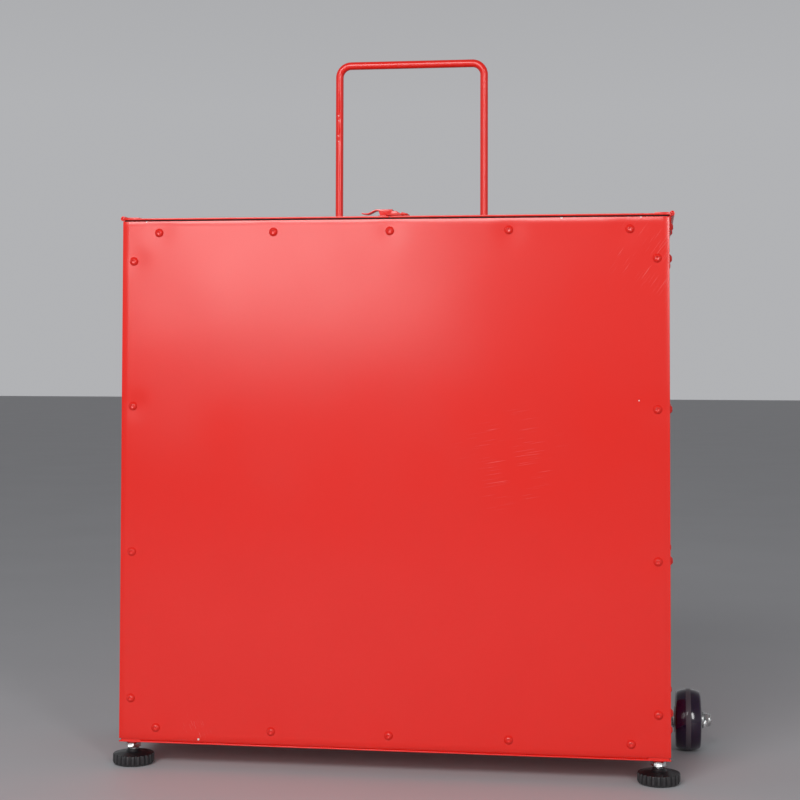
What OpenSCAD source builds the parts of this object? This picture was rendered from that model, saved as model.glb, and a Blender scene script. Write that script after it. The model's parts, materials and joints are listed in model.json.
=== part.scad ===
// Wheeled upright equipment case: a flat sheet-steel box on a welded square-tube
// frame, with two top lids, a draw latch, a sliding pull handle, two levelling
// feet in front and two wheels behind. Millimetres, +Z up, front face towards -Y.
// Inside the modules X is 0 at the middle of the case, Y is 0 at the front face
// and Z is 0 at the case's lower edge; at_floor() moves that to the floor.

/* [Case] */
// Width of the case
case_w = 650; // [541:1:780]
// Height of the case from its lower edge to its upper edge
case_h = 619.5; // [516:0.5:744]
// Depth of the case from its front face to its rear face
case_d = 170; // [141:1:204]
// Height of the case's lower edge above the floor
floor_gap = 29.5; // [28:0.5:38]
// Thickness of the side, front, rear and bottom sheets
sheet_t = 1.5; // [1:0.1:3]
// Height of the panels' lower edges above the frame's lower face
panel_lift = 2.5; // [0:0.5:4]
// Outer size of the square frame tube
tube_s = 25; // [25:1:30]
// Wall of the square frame tube
tube_wall = 1.5; // [1:0.1:2.5]
// Outer corner radius of the square frame tube
tube_r = 2; // [1:0.5:3]

/* [Panel screws] */
// Distance from a panel's edge to its row of screws
edge_inset = 14; // [14:0.5:15]
// Distance from a corner to the first screw of a front row
row_end = 45; // [40:1:60]
// Distance from a corner to the first screw of a side column
column_end = 48; // [44:1:60]
// Screws in each top and bottom row
row_count = 5; // [3:1:7]
// Screws in each side column
column_count = 4; // [3:1:6]
// Diameter of the screw heads
head_d = 10.5; // [9:0.1:12]
// Height of the screw heads
head_h = 3.3; // [2:0.1:4]
// Diameter of the screw shanks
shank_d = 6; // [5:0.1:6]
// Length of a panel screw under its head
screw_l = 8; // [6:0.5:8]
// Key size of the hexagon sockets
socket_af = 4; // [3:0.1:5]
// Depth of the hexagon sockets
socket_deep = 1.9; // [1:0.1:2.2]
// Outer diameter of the blind rivet nuts
nut_d = 8.8; // [8:0.1:9]
// Length of the blind rivet nuts
nut_l = 7.5; // [6:0.5:7.5]
// Diameter of the upset collar behind the tube wall
collar_d = 11; // [9.5:0.1:12]

/* [Lids and hinges] */
// Thickness of the lids
lid_t = 2; // [1.5:0.1:3]
// Gap between the frame and the lids, filled by the seal
lid_gap = 1.8; // [1:0.1:3]
// Gap between the two lids at the middle
split_gap = 3; // [2:0.5:6]
// Width of the seal strip
seal_w = 18; // [8:1:22]
// Distance of the hinges' ends from the front and rear faces
hinge_inset = 10; // [5:0.5:20]
// Thickness of the hinge leaves
leaf_t = 2; // [1.5:0.1:2.4]
// Reach of each leaf from the pin's centre
leaf_reach = 20; // [18:0.5:24]
// Diameter of the hinge pins
pin_d = 3.4; // [2.5:0.1:4]
// Outer diameter of the hinge knuckles
knuckle_d = 6; // [5.5:0.1:7]
// Distance of the hinge screws and rivets from the pin's centre
leaf_screw_at = 13; // [11.5:0.5:14]
// Distance between the two hinge screws
hinge_screw_pitch = 70; // [50:1:90]
// Distance between the hinge rivets of a lid
hinge_rivet_pitch = 54; // [40:1:54]
// Head diameter of the lid rivets
rivet_d = 6.5; // [5:0.1:8]
// Height of the lid rivets' heads
rivet_h = 1.4; // [1:0.1:2]
// Diameter of the lid rivets' shanks
rivet_shank = 3.2; // [2.4:0.1:4]

/* [Latch] */
// Length of the latch base
latch_l = 29; // [27:0.5:34]
// Half width of the latch base
latch_half = 9; // [8:0.5:12]
// Thickness of the latch sheet
latch_t = 1.4; // [1:0.1:2]
// Height of the seats that lift the latch off the lid
latch_seat = 5; // [3:0.5:8]
// Height of the lever's top above the seats
lever_h = 9.9; // [9.9:0.1:12]
// Height of the latch pivot above the seats
pivot_h = 4.4; // [4.2:0.1:4.6]
// Distance from the latch pivot back to the bail pivot
throw = 9; // [8:0.5:10]
// Diameter of the latch pivot and of the bail wire
wire_d = 2.5; // [2:0.1:2.6]

/* [Pull handle] */
// Diameter of the handle's round bar
bar_d = 10; // [8:0.5:12]
// Distance between the centres of the handle's legs
leg_pitch = 187.5; // [150:0.5:230]
// Height of the raised handle's centre line above the case's upper edge
handle_rise = 214.5; // [120:0.5:260]
// Bend radius at the handle's corners, on the centre line
bend_r = 15; // [12:1:30]
// Gap between the rear face and the guide tubes
guide_standoff = 3; // [2:0.5:8]
// Wall of the guide tubes
guide_wall = 1.5; // [1:0.1:2]
// Gap between the handle's bar and the wall of the guide tubes
guide_room = 1.5; // [1:0.1:3]
// Travel of the handle from raised to stowed
handle_travel = 190; // [100:1:230]
// Length of the bush at the top of each guide tube
bush_l = 40; // [20:1:60]
// Length of the sliders on the ends of the handle's legs
slider_l = 30; // [20:1:40]

/* [Wheels and axle] */
// Diameter of the wheels
wheel_d = 75; // [62:1:92]
// Width of the tyres
tyre_w = 31.4; // [26:0.1:34]
// Radius of the tyres' shoulders
tyre_shoulder = 8; // [4:0.5:12]
// Radius of the tyres' crown, across the tread
crown_r = 32; // [25:1:80]
// Diameter of the wheel's core under the tyre
core_d = 54; // [48:1:58]
// Diameter of the axle rod
axle_d = 10; // [8:0.5:10]
// Outer diameter of the wheel bearings
bearing_d = 26; // [24:0.5:30]
// Width of the wheel bearings
bearing_w = 8; // [6:0.5:10]
// Gap between the rear face and the axle tube
axle_standoff = 5; // [5:0.5:10]
// Thickness of the axle's inner nuts
inner_nut_l = 8; // [6:0.5:10]
// Thickness of the axle's outer lock nuts
outer_nut_l = 9; // [8:0.5:12]
// Size across the flats of the M10 nuts
nut_af = 16; // [16:0.5:17]
// Thickness of the axle washers
washer_t = 2; // [1.5:0.1:3]
// Diameter of the axle washers
washer_d = 21; // [18:0.5:26]

/* [Levelling feet] */
// Diameter of the foot pads
pad_d = 49; // [40:1:60]
// Height of the pad's fluted rim
pad_rim = 12.6; // [9:0.1:13]
// Number of flutes round a pad
flutes = 24; // [16:1:36]
// Diameter of the flutes
flute_d = 4.4; // [3:0.1:4.8]
// Diameter of the foot studs
stud_d = 10; // [8:0.5:10]
// Length of the stud above the case's lower edge
stud_up = 42; // [35:1:60]
// Diameter of the threaded boss
boss_d = 17; // [15:0.5:20]
// Drop of the threaded boss below the case's lower edge
boss_drop = 4; // [3:0.1:6]
// Depth of the boss's square plug in the post
boss_up = 14; // [10:1:20]
// Thickness of the foot's lock nut
jam_nut_l = 5.5; // [4:0.1:6]

/* [Fits] */
// Radial clearance of a pin, shaft or thread in its bore
run_gap = 0.05; // [0.02:0.01:0.1]
// Clearance between pieces that slide or swing past each other
swing_gap = 0.4; // [0.3:0.05:0.8]
// Radial clearance of a screw in a sheet
hole_gap = 0.3; // [0.2:0.05:0.6]

/* [Hidden] */
$fn = 48;

red = "#d8362c";
zinc = "#b9bcc0";
black = "#1d1d1f";
purple = "#2b1033";
nylon = "#d9d6cc";

// Case
half_w = case_w / 2;
frame_x = half_w - sheet_t;
post_x = frame_x - tube_s / 2;
post_front_y = sheet_t + tube_s / 2;
post_rear_y = case_d - post_front_y;
rail_l = 2 * (frame_x - tube_s);
cross_l = case_d - 2 * (sheet_t + tube_s);
tube_inside = tube_s - 2 * tube_wall - 0.2;
plug_deep = 12;
plug_flange = 2;
corner_notch = tube_s + sheet_t + 0.5;

// Panel screws, as [x, z] on the front and rear and [y, z] on the sides
row_x = [for (i = [0 : row_count - 1])
    -half_w + row_end + i * (case_w - 2 * row_end) / (row_count - 1)];
panel_h = case_h - panel_lift;
column_z = [for (i = [0 : column_count - 1])
    panel_lift + column_end + i * (panel_h - 2 * column_end) / (column_count - 1)];
low_row_z = panel_lift + edge_inset;
face_spots = concat(
    [for (x = row_x) for (z = [low_row_z, case_h - edge_inset]) [x, z]],
    [for (s = [-1, 1]) for (z = column_z) [s * (half_w - edge_inset), z]]);
side_spots = concat(
    [for (y = [edge_inset, case_d - edge_inset]) for (z = column_z) [y, z]],
    [[case_d / 2, low_row_z]]);
bottom_x = [for (i = [0 : row_count - 2]) (row_x[i] + row_x[i + 1]) / 2];
bottom_spots = [for (x = bottom_x) for (y = [edge_inset, case_d - edge_inset]) [x, y]];

// Lids and hinges
lid_top = case_h + lid_gap + lid_t;
lid_edge = 0.5;
seal_squeeze = 0.1;
pin_x = half_w + knuckle_d / 2 + 0.2;
pin_z = lid_top + leaf_t / 2 - 0.3;
hinge_l = case_d - 2 * hinge_inset;
knuckles = 5;
knuckle_l = hinge_l / knuckles;
knuckle_end = 0.15;
pin_end = 0.6;
leaf_screw_z = pin_z - leaf_screw_at;
rivet_pitch = min(hinge_rivet_pitch, hinge_l / 2 - rivet_d);
lid_rivet_y = [for (i = [-1, 0, 1]) case_d / 2 + i * rivet_pitch];
hinge_screw_y = [for (s = [-1, 1]) case_d / 2 + s * hinge_screw_pitch / 2];
hinge_screw_l = screw_l + leaf_t;

// Latch, in X and in Z above its seats
latch_front = -split_gap / 2 - lid_edge;
latch_back = latch_front - latch_l;
pivot = [latch_front - 5, pivot_h];
bail_pivot = [pivot[0] - throw, pivot_h - 1];
lever_half = latch_half - latch_t - swing_gap;
bail_half = latch_half + swing_gap + wire_d / 2;
bail_bend = 3;
latch_rivet_x = [latch_back + 5, pivot[0] - 3];
ear_top = 7.5;
plate_front = pivot[0] - 2;
plate_back = plate_front - 19;
tail_dip = [plate_back - 13, 3.9];
tail_end = [tail_dip[0] - 6, 6.2];
catch_x = split_gap / 2 + lid_edge;
catch_l = 6.2;
catch_high = 6.5;
catch_low = 5.2;
catch_lip = 1;
bail_slack = 0.1;
bail_x = catch_x + catch_l + bail_slack + wire_d / 2;

// Pull handle
leg_x = leg_pitch / 2;
guide_ir = bar_d / 2 + guide_room;
guide_or = guide_ir + guide_wall;
handle_off = guide_or + guide_standoff;
handle_y = case_d + handle_off;
guide_drop = 10;
guide_top = case_h - guide_drop;
bush_flange = 2;
slider_gap = 0.5;
slider_floor = 5;
slider_top = guide_top - bush_l - slider_gap;
leg_end = slider_top - slider_l + slider_floor;
guide_spare = 20;
guide_l = bush_l + slider_l + handle_travel + guide_spare;
bracket_end = 30;
bracket_z = [guide_top - bracket_end, guide_top - guide_l + bracket_end];
bracket_ear = 14;
bracket_h = 20;
strap_t = 2;
bracket_w = 2 * (guide_or + strap_t + bracket_ear);
bracket_hole_x = guide_or + strap_t + bracket_ear / 2;

// Wheels and axle
axle_y = case_d + axle_standoff + tube_s / 2;
axle_z = wheel_d / 2 - floor_gap;
axle_tube_in = 6;
hub_w = tyre_w + 2;
shoulder = min(tyre_shoulder, (wheel_d - core_d) / 2 - 1, tyre_w / 2 - 1);
hub_boss_d = bearing_d + 6;
web_r = core_d / 2 - 4;
web_dish = 5;
sleeve_gap = 0.4;
sleeve_wall = 2.5;
axle_tube_half = half_w - axle_tube_in;
inner_nut_x = axle_tube_half + plug_flange;
inner_washer_x = inner_nut_x + inner_nut_l;
sleeve_x = inner_washer_x + washer_t;
sleeve_l = hub_w + 2 * sleeve_gap;
outer_washer_x = sleeve_x + sleeve_l;
outer_nut_x = outer_washer_x + washer_t;
thread_proud = 0.5;
axle_half = outer_nut_x + outer_nut_l + thread_proud;
wheel_x = sleeve_x + sleeve_l / 2;
sleeve_r = axle_d / 2 + sleeve_wall;
lug_w = 60;
lug_x = (row_x[row_count - 2] + row_x[row_count - 1]) / 2;

// Feet
pad_base = -floor_gap;
pad_top = pad_base + pad_rim;
pad_floor = 4;
flute_out = 0.8;
stud_foot = pad_base + pad_floor;
boss_r = boss_d / 2;

// The middle of the overall depth lies on Y = 0
front_reach = post_front_y - pad_d / 2;
rear_reach = axle_y + wheel_d / 2;
y_front = -(front_reach + rear_reach) / 2;

module at_floor() {
    translate([0, y_front, floor_gap]) children();
}

// ---- shared shapes ----

module rounded_square(s, r) {
    square([s, s - 2 * r], center = true);
    square([s - 2 * r, s], center = true);
    for (x = [-1, 1]) for (y = [-1, 1])
        translate([x * (s / 2 - r), y * (s / 2 - r)]) circle(r);
}

// Square tube along +Z from the origin
module square_tube(l) {
    linear_extrude(l) difference() {
        rounded_square(tube_s, tube_r);
        square(tube_s - 2 * tube_wall, center = true);
    }
}

// Children stand on a panel's outer face with +Z outwards
module on_front(spots) {
    for (p = spots) translate([p[0], 0, p[1]]) rotate([90, 0, 0]) children();
}

module on_rear(spots) {
    for (p = spots) translate([p[0], case_d, p[1]]) rotate([-90, 0, 0]) children();
}

module on_side(side, spots) {
    for (p = spots) translate([side * half_w, p[0], p[1]]) rotate([0, side * 90, 0]) children();
}

module on_bottom(spots) {
    for (p = spots) translate([p[0], p[1], -sheet_t]) rotate([180, 0, 0]) children();
}

module button_screw(l) {
    cap_r = (pow(head_d / 2, 2) + pow(head_h, 2)) / (2 * head_h);
    difference() {
        intersection() {
            translate([0, 0, head_h - cap_r]) sphere(cap_r);
            cylinder(r = cap_r, h = head_h + 1);
        }
        translate([0, 0, head_h - socket_deep])
            cylinder(d = socket_af / cos(30), h = socket_deep + 1, $fn = 6);
    }
    translate([0, 0, -l]) cylinder(d = shank_d, h = l);
}

// Blind rivet nut whose face lies on the tube, one sheet below the panel's face
module rivet_nut() {
    wall = sheet_t + tube_wall;
    difference() {
        union() {
            translate([0, 0, -sheet_t - nut_l]) cylinder(d = nut_d, h = nut_l);
            translate([0, 0, -wall - 2.2]) cylinder(d = collar_d, h = 2.2);
        }
        translate([0, 0, -sheet_t - nut_l - 1])
            cylinder(r = shank_d / 2 + run_gap, h = nut_l + 2);
    }
}

module screw_hole() {
    translate([0, 0, -sheet_t - 1]) cylinder(r = shank_d / 2 + hole_gap, h = sheet_t + 2);
}

// Hole for a rivet nut through the near wall of a frame tube
module nut_hole() {
    translate([0, 0, -sheet_t - tube_wall - 0.5])
        cylinder(d = nut_d + 2 * run_gap, h = tube_wall + 1);
}

module all_nut_holes() {
    on_front(face_spots) nut_hole();
    on_rear(face_spots) nut_hole();
    for (side = [-1, 1]) {
        on_side(side, side_spots) nut_hole();
        on_side(side, [for (y = hinge_screw_y) [y, leaf_screw_z]]) nut_hole();
    }
    on_bottom(bottom_spots) nut_hole();
}

// Hexagon nut along +Z with both ends chamfered
module hex_nut(af, l, bore_d) {
    corner = af / 2 / cos(30);
    bevel = (corner - af * 0.48) * tan(30);
    difference() {
        intersection() {
            cylinder(r = corner, h = l, $fn = 6);
            rotate_extrude() polygon([[0, 0], [af * 0.48, 0], [corner, bevel],
                                      [corner, l - bevel], [af * 0.48, l], [0, l]]);
        }
        translate([0, 0, -1]) cylinder(r = bore_d / 2 + run_gap, h = l + 2);
    }
}

// ---- panels ----

module face_panel() {
    cube([case_w, sheet_t, panel_h]);
}

module front_panel() {
    color(red) at_floor() difference() {
        translate([-half_w, 0, panel_lift]) face_panel();
        on_front(face_spots) screw_hole();
    }
}

module rear_panel() {
    color(red) at_floor() difference() {
        translate([-half_w, case_d - sheet_t, panel_lift]) face_panel();
        on_rear(face_spots) screw_hole();
    }
}

module side_panel(side) {
    color(red) at_floor() difference() {
        translate([side * (half_w - sheet_t / 2) - sheet_t / 2, sheet_t, panel_lift])
            cube([sheet_t, case_d - 2 * sheet_t, panel_h]);
        on_side(side, side_spots) screw_hole();
        on_side(side, [for (y = hinge_screw_y) [y, leaf_screw_z]]) screw_hole();
    }
}

module left_side_panel() { side_panel(-1); }
module right_side_panel() { side_panel(1); }

module bottom_panel() {
    color(red) at_floor() difference() {
        translate([-half_w, 0, -sheet_t]) cube([case_w, case_d, sheet_t]);
        for (x = [-1, 1]) for (y = [0, case_d])
            translate([x * half_w, y, 0])
                cube([2 * corner_notch, 2 * corner_notch, 4 * sheet_t], center = true);
        on_bottom(bottom_spots) screw_hole();
    }
}

// ---- welded frame ----

module post(x, y) {
    color(red) at_floor() difference() {
        translate([x, y, 0]) square_tube(case_h);
        all_nut_holes();
    }
}

module front_left_post() { post(-post_x, post_front_y); }
module front_right_post() { post(post_x, post_front_y); }
module rear_left_post() { post(-post_x, post_rear_y); }
module rear_right_post() { post(post_x, post_rear_y); }

module long_rail(y, z) {
    color(red) at_floor() difference() {
        translate([-rail_l / 2, y, z]) rotate([0, 90, 0]) square_tube(rail_l);
        all_nut_holes();
    }
}

module front_top_rail() { long_rail(post_front_y, case_h - tube_s / 2); }
module front_bottom_rail() { long_rail(post_front_y, tube_s / 2); }
module rear_top_rail() { long_rail(post_rear_y, case_h - tube_s / 2); }
module rear_bottom_rail() { long_rail(post_rear_y, tube_s / 2); }

module side_rails() {
    color(red) at_floor() difference() {
        for (x = [-post_x, post_x]) for (z = [tube_s / 2, case_h - tube_s / 2])
            translate([x, sheet_t + tube_s, z]) rotate([-90, 0, 0]) square_tube(cross_l);
        all_nut_holes();
    }
}

// ---- panel fasteners ----

module front_screws() {
    color(red) at_floor() on_front(face_spots) button_screw(screw_l);
}

module rear_screws() {
    color(red) at_floor() on_rear(face_spots) button_screw(screw_l);
}

module side_screws() {
    color(red) at_floor() for (side = [-1, 1]) on_side(side, side_spots) button_screw(screw_l);
}

module bottom_screws() {
    color(red) at_floor() on_bottom(bottom_spots) button_screw(screw_l);
}

module rivet_nuts() {
    color(zinc) at_floor() {
        on_front(face_spots) rivet_nut();
        on_rear(face_spots) rivet_nut();
        for (side = [-1, 1]) {
            on_side(side, side_spots) rivet_nut();
            on_side(side, [for (y = hinge_screw_y) [y, leaf_screw_z]]) rivet_nut();
        }
        on_bottom(bottom_spots) rivet_nut();
    }
}

// Plugs close the tops of all posts and the lower ends of the rear ones
module post_plugs() {
    color(black) at_floor() {
        for (x = [-post_x, post_x]) {
            for (y = [post_front_y, post_rear_y])
                translate([x, y, case_h - plug_deep / 2])
                    cube([tube_inside, tube_inside, plug_deep], center = true);
            translate([x, post_rear_y, plug_deep / 2])
                cube([tube_inside, tube_inside, plug_deep], center = true);
            translate([x, post_rear_y, -plug_flange])
                linear_extrude(plug_flange) rounded_square(tube_s, tube_r);
        }
    }
}

// ---- lids ----

module lid_seal() {
    z_t = lid_gap - seal_squeeze;
    color(black) at_floor() translate([0, case_d / 2, case_h + z_t / 2]) difference() {
        cube([2 * frame_x, case_d - 2 * sheet_t, z_t], center = true);
        cube([2 * (frame_x - seal_w), case_d - 2 * (sheet_t + seal_w), z_t + 2], center = true);
    }
}

module lid_panel(side) {
    l = half_w - lid_edge - split_gap / 2;
    rivets = concat([for (y = lid_rivet_y) [side * (pin_x - leaf_screw_at), y]],
                    side < 0 ? [for (x = latch_rivet_x) [x, case_d / 2]] : []);
    color(red) at_floor() difference() {
        translate([side > 0 ? split_gap / 2 : -split_gap / 2 - l, 0, lid_top - lid_t])
            cube([l, case_d, lid_t]);
        for (p = rivets)
            translate([p[0], p[1], lid_top - lid_t - 1])
                cylinder(r = rivet_shank / 2 + run_gap, h = lid_t + 2);
    }
}

module left_lid_panel() { lid_panel(-1); }
module right_lid_panel() { lid_panel(1); }

// Knuckles first, first + 2, ... of the hinge, along +Y at the pin
module knuckle_row(first, step) {
    for (i = [first : step : knuckles - 1])
        translate([0, hinge_inset + i * knuckle_l + knuckle_end, 0])
            rotate([-90, 0, 0]) cylinder(d = knuckle_d, h = knuckle_l - 2 * knuckle_end);
}

module pin_bore() {
    rotate([-90, 0, 0]) cylinder(r = pin_d / 2 + run_gap, h = case_d);
}

// Clears the other leaf's knuckles out of a leaf plate
module knuckle_relief(first, step) {
    for (i = [first : step : knuckles - 1])
        translate([0, hinge_inset + i * knuckle_l - knuckle_end, 0])
            rotate([-90, 0, 0])
                cylinder(r = knuckle_d / 2 + swing_gap, h = knuckle_l + 2 * knuckle_end);
}

module fixed_leaf(side) {
    difference() {
        union() {
            translate([side * (half_w + leaf_t / 2) - leaf_t / 2,
                       hinge_inset + knuckle_end, pin_z - leaf_reach])
                cube([leaf_t, hinge_l - 2 * knuckle_end, leaf_reach]);
            translate([side * pin_x, 0, pin_z]) knuckle_row(0, 2);
        }
        translate([side * pin_x, 0, pin_z]) {
            pin_bore();
            knuckle_relief(1, 2);
        }
        for (i = [1 : 2 : knuckles - 1])
            translate([side * (half_w + leaf_t / 2),
                       hinge_inset + (i + 0.5) * knuckle_l, pin_z])
                cube([leaf_t + 1, knuckle_l + 2 * knuckle_end, knuckle_d], center = true);
        on_side(side, [for (y = hinge_screw_y) [y, leaf_screw_z]])
            translate([0, 0, -1]) cylinder(r = shank_d / 2 + hole_gap, h = leaf_t + 2);
    }
}

module fixed_leaves() {
    color(red) at_floor() for (side = [-1, 1]) fixed_leaf(side);
}

module lid_leaf(side) {
    color(red) at_floor() difference() {
        union() {
            translate([side * (pin_x - leaf_reach / 2) - leaf_reach / 2,
                       hinge_inset + knuckle_end, lid_top])
                cube([leaf_reach, hinge_l - 2 * knuckle_end, leaf_t]);
            translate([side * pin_x, 0, pin_z]) knuckle_row(1, 2);
        }
        translate([side * pin_x, 0, pin_z]) {
            pin_bore();
            knuckle_relief(0, 2);
        }
        for (y = lid_rivet_y)
            translate([side * (pin_x - leaf_screw_at), y, lid_top - 1])
                cylinder(r = rivet_shank / 2 + run_gap, h = leaf_t + 2);
    }
}

module left_lid_leaf() { lid_leaf(-1); }
module right_lid_leaf() { lid_leaf(1); }

module hinge_pins() {
    color(red) at_floor() for (side = [-1, 1])
        translate([side * pin_x, hinge_inset - pin_end, pin_z])
            rotate([-90, 0, 0]) cylinder(d = pin_d, h = hinge_l + 2 * pin_end);
}

module hinge_screws() {
    color(red) at_floor() for (side = [-1, 1])
        on_side(side, [for (y = hinge_screw_y) [y, leaf_screw_z]])
            translate([0, 0, leaf_t]) button_screw(hinge_screw_l);
}

// Blind rivet standing on z = 0 and reaching depth below it
module blind_rivet(depth) {
    cap_r = (pow(rivet_d / 2, 2) + pow(rivet_h, 2)) / (2 * rivet_h);
    intersection() {
        translate([0, 0, rivet_h - cap_r]) sphere(cap_r);
        cylinder(r = cap_r, h = rivet_h + 1);
    }
    translate([0, 0, -depth]) cylinder(d = rivet_shank, h = depth);
}

module lid_rivets(side) {
    for (y = lid_rivet_y)
        translate([side * (pin_x - leaf_screw_at), y, lid_top + leaf_t])
            blind_rivet(leaf_t + lid_t);
}

module left_lid_rivets() {
    color(red) at_floor() {
        lid_rivets(-1);
        for (x = latch_rivet_x)
            translate([x, case_d / 2, lid_top + latch_seat + latch_t])
                blind_rivet(latch_seat + latch_t + lid_t);
    }
}

module right_lid_rivets() {
    color(red) at_floor() lid_rivets(1);
}

// ---- draw latch ----

module at_latch() {
    at_floor() translate([0, case_d / 2, lid_top + latch_seat]) children();
}

// Extrudes a profile drawn in X and Z across Y, from -half to +half
module across(half) {
    translate([0, half, 0]) rotate([90, 0, 0]) linear_extrude(2 * half) children();
}

module latch_base() {
    ear = [[pivot[0] - 4, 0], [pivot[0] - 4, ear_top - 2], [pivot[0] - 2, ear_top],
           [latch_front - 1, ear_top], [latch_front, ear_top - 1], [latch_front, 0]];
    color(red) at_latch() difference() {
        union() {
            translate([latch_back, -latch_half, -latch_seat])
                cube([latch_front - latch_back, 2 * latch_half, latch_seat + latch_t]);
            for (s = [-1, 1])
                translate([0, s * (latch_half - latch_t / 2), 0])
                    across(latch_t / 2) polygon(ear);
            translate([pivot[0], latch_half, pivot[1]])
                rotate([90, 0, 0]) cylinder(d = wire_d, h = 2 * latch_half);
        }
        for (x = latch_rivet_x)
            translate([x, 0, -latch_seat - 1])
                cylinder(r = rivet_shank / 2 + run_gap, h = latch_seat + latch_t + 2);
    }
}

module latch_catch() {
    l = catch_x + catch_l;
    color(red) at_latch() across(latch_half - 1) difference() {
        polygon([[catch_x, -latch_seat], [catch_x, catch_high - catch_lip],
                 [catch_x + catch_lip, catch_high], [l - catch_lip, catch_low],
                 [l, catch_low - catch_lip], [l, -latch_seat]]);
        polygon([[catch_x + latch_t, latch_t - latch_seat], [catch_x + latch_t, catch_high - 2],
                 [l - latch_t, catch_low - 1.6], [l - latch_t, latch_t - latch_seat]]);
    }
}

// Height of the grip's underside at a share u of its length, from plate to dip
function grip_z(u) = tail_dip[1] + (lever_h - latch_t - tail_dip[1]) * (1 + cos(180 * u)) / 2;

module lever_profile() {
    steps = 16;
    under = concat(
        [for (i = [0 : steps]) let (u = i / steps)
            [plate_back + u * (tail_dip[0] - plate_back), grip_z(u)]],
        [for (i = [1 : 6]) let (u = i / 6)
            [tail_dip[0] + u * (tail_end[0] - tail_dip[0]),
             tail_dip[1] + u * u * (tail_end[1] - latch_t - tail_dip[1])]]);
    over = [for (i = [len(under) - 1 : -1 : 0]) under[i] + [0, latch_t]];
    polygon(concat([[plate_front, lever_h], [plate_front, lever_h - latch_t]], under, over));
}

module latch_lever() {
    cheek = [[plate_back + 2, lever_h - latch_t], [plate_back + 4, 2], [bail_pivot[0] - 2, 1.7],
             [pivot[0], 1.7], [pivot[0] + 2.2, 3], [pivot[0] + 2.2, 5.5],
             [plate_front, lever_h - latch_t]];
    color(red) at_latch() difference() {
        union() {
            across(lever_half) lever_profile();
            for (s = [-1, 1])
                translate([0, s * (lever_half - latch_t / 2), 0])
                    across(latch_t / 2) polygon(cheek);
        }
        for (p = [pivot, bail_pivot])
            translate([p[0], latch_half + 1, p[1]]) rotate([90, 0, 0])
                cylinder(r = wire_d / 2 + run_gap, h = 2 * latch_half + 2);
    }
}

// Closed wire loop lying flat, with bent corners
module latch_bail() {
    l = bail_x - bail_pivot[0];
    color(red) at_latch() translate([(bail_x + bail_pivot[0]) / 2, 0, bail_pivot[1]])
        for (s = [-1, 1]) {
            translate([s * l / 2, bail_half - bail_bend, 0]) rotate([90, 0, 0])
                cylinder(d = wire_d, h = 2 * (bail_half - bail_bend));
            translate([bail_bend - l / 2, s * bail_half, 0]) rotate([0, 90, 0])
                cylinder(d = wire_d, h = l - 2 * bail_bend);
            for (t = [-1, 1])
                translate([s * (l / 2 - bail_bend), t * (bail_half - bail_bend), 0])
                    rotate([0, 0, s > 0 ? (t > 0 ? 0 : -90) : (t > 0 ? 90 : 180)])
                        rotate_extrude(angle = 90) translate([bail_bend, 0]) circle(d = wire_d);
        }
}

// ---- pull handle ----

module handle_bar() {
    top = case_h + handle_rise;
    color(red) at_floor() translate([0, handle_y, 0]) {
        translate([-leg_x + bend_r, 0, top]) rotate([0, 90, 0])
            cylinder(d = bar_d, h = leg_pitch - 2 * bend_r);
        for (s = [-1, 1]) {
            translate([s * leg_x, 0, leg_end])
                cylinder(d = bar_d, h = top - bend_r - leg_end);
            translate([s * (leg_x - bend_r), 0, top - bend_r])
                rotate([90, 0, 0]) rotate([0, 0, s > 0 ? 0 : 90])
                    rotate_extrude(angle = 90) translate([bend_r, 0]) circle(d = bar_d);
        }
    }
}

// Nylon plugs on the leg ends slide in the guide tubes and stop under the bushes
module handle_sliders() {
    color(nylon) at_floor() for (s = [-1, 1])
        translate([s * leg_x, handle_y, slider_top - slider_l]) difference() {
            cylinder(r = guide_ir - 0.2, h = slider_l);
            translate([0, 0, 5]) cylinder(d = bar_d, h = slider_l);
        }
}

module guide_tube(side) {
    color(red) at_floor() translate([side * leg_x, handle_y, guide_top - guide_l])
        difference() {
            cylinder(r = guide_or, h = guide_l);
            translate([0, 0, -1]) cylinder(r = guide_ir, h = guide_l + 2);
        }
}

module left_guide_tube() { guide_tube(-1); }
module right_guide_tube() { guide_tube(1); }

module guide_bushes() {
    color(black) at_floor() for (s = [-1, 1])
        translate([s * leg_x, handle_y, guide_top]) difference() {
            union() {
                cylinder(r = guide_or, h = bush_flange);
                translate([0, 0, -bush_l]) cylinder(r = guide_ir - run_gap, h = bush_l + 1);
            }
            translate([0, 0, -bush_l - 1])
                cylinder(r = bar_d / 2 + run_gap, h = bush_l + bush_flange + 2);
        }
}

// Saddle straps hold the guide tubes off the rear panel
module guide_brackets() {
    color(red) at_floor() for (s = [-1, 1]) for (z = bracket_z)
        translate([s * leg_x, case_d, z]) difference() {
            union() {
                translate([-bracket_w / 2, 0, -bracket_h / 2])
                    cube([bracket_w, strap_t, bracket_h]);
                translate([0, handle_off, -bracket_h / 2])
                    cylinder(r = guide_or + strap_t, h = bracket_h);
                translate([-guide_or - strap_t, 0, -bracket_h / 2])
                    cube([2 * (guide_or + strap_t), handle_off, bracket_h]);
            }
            translate([0, handle_off, -bracket_h])
                cylinder(r = guide_or + run_gap, h = 2 * bracket_h);
            for (t = [-1, 1])
                translate([t * bracket_hole_x, -1, 0]) rotate([-90, 0, 0])
                    cylinder(r = shank_d / 2 + hole_gap, h = strap_t + 2);
        }
}

module bracket_screws() {
    color(red) at_floor() for (s = [-1, 1]) for (z = bracket_z) for (t = [-1, 1])
        translate([s * leg_x + t * bracket_hole_x, case_d + strap_t, z])
            rotate([-90, 0, 0]) button_screw(strap_t);
}

// ---- wheels and axle ----

module at_axle() {
    at_floor() translate([0, axle_y, axle_z]) children();
}

// Children are drawn along +X from x
module along_x(side, x) {
    translate([side * x, 0, 0]) rotate([0, side * 90, 0]) children();
}

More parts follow.
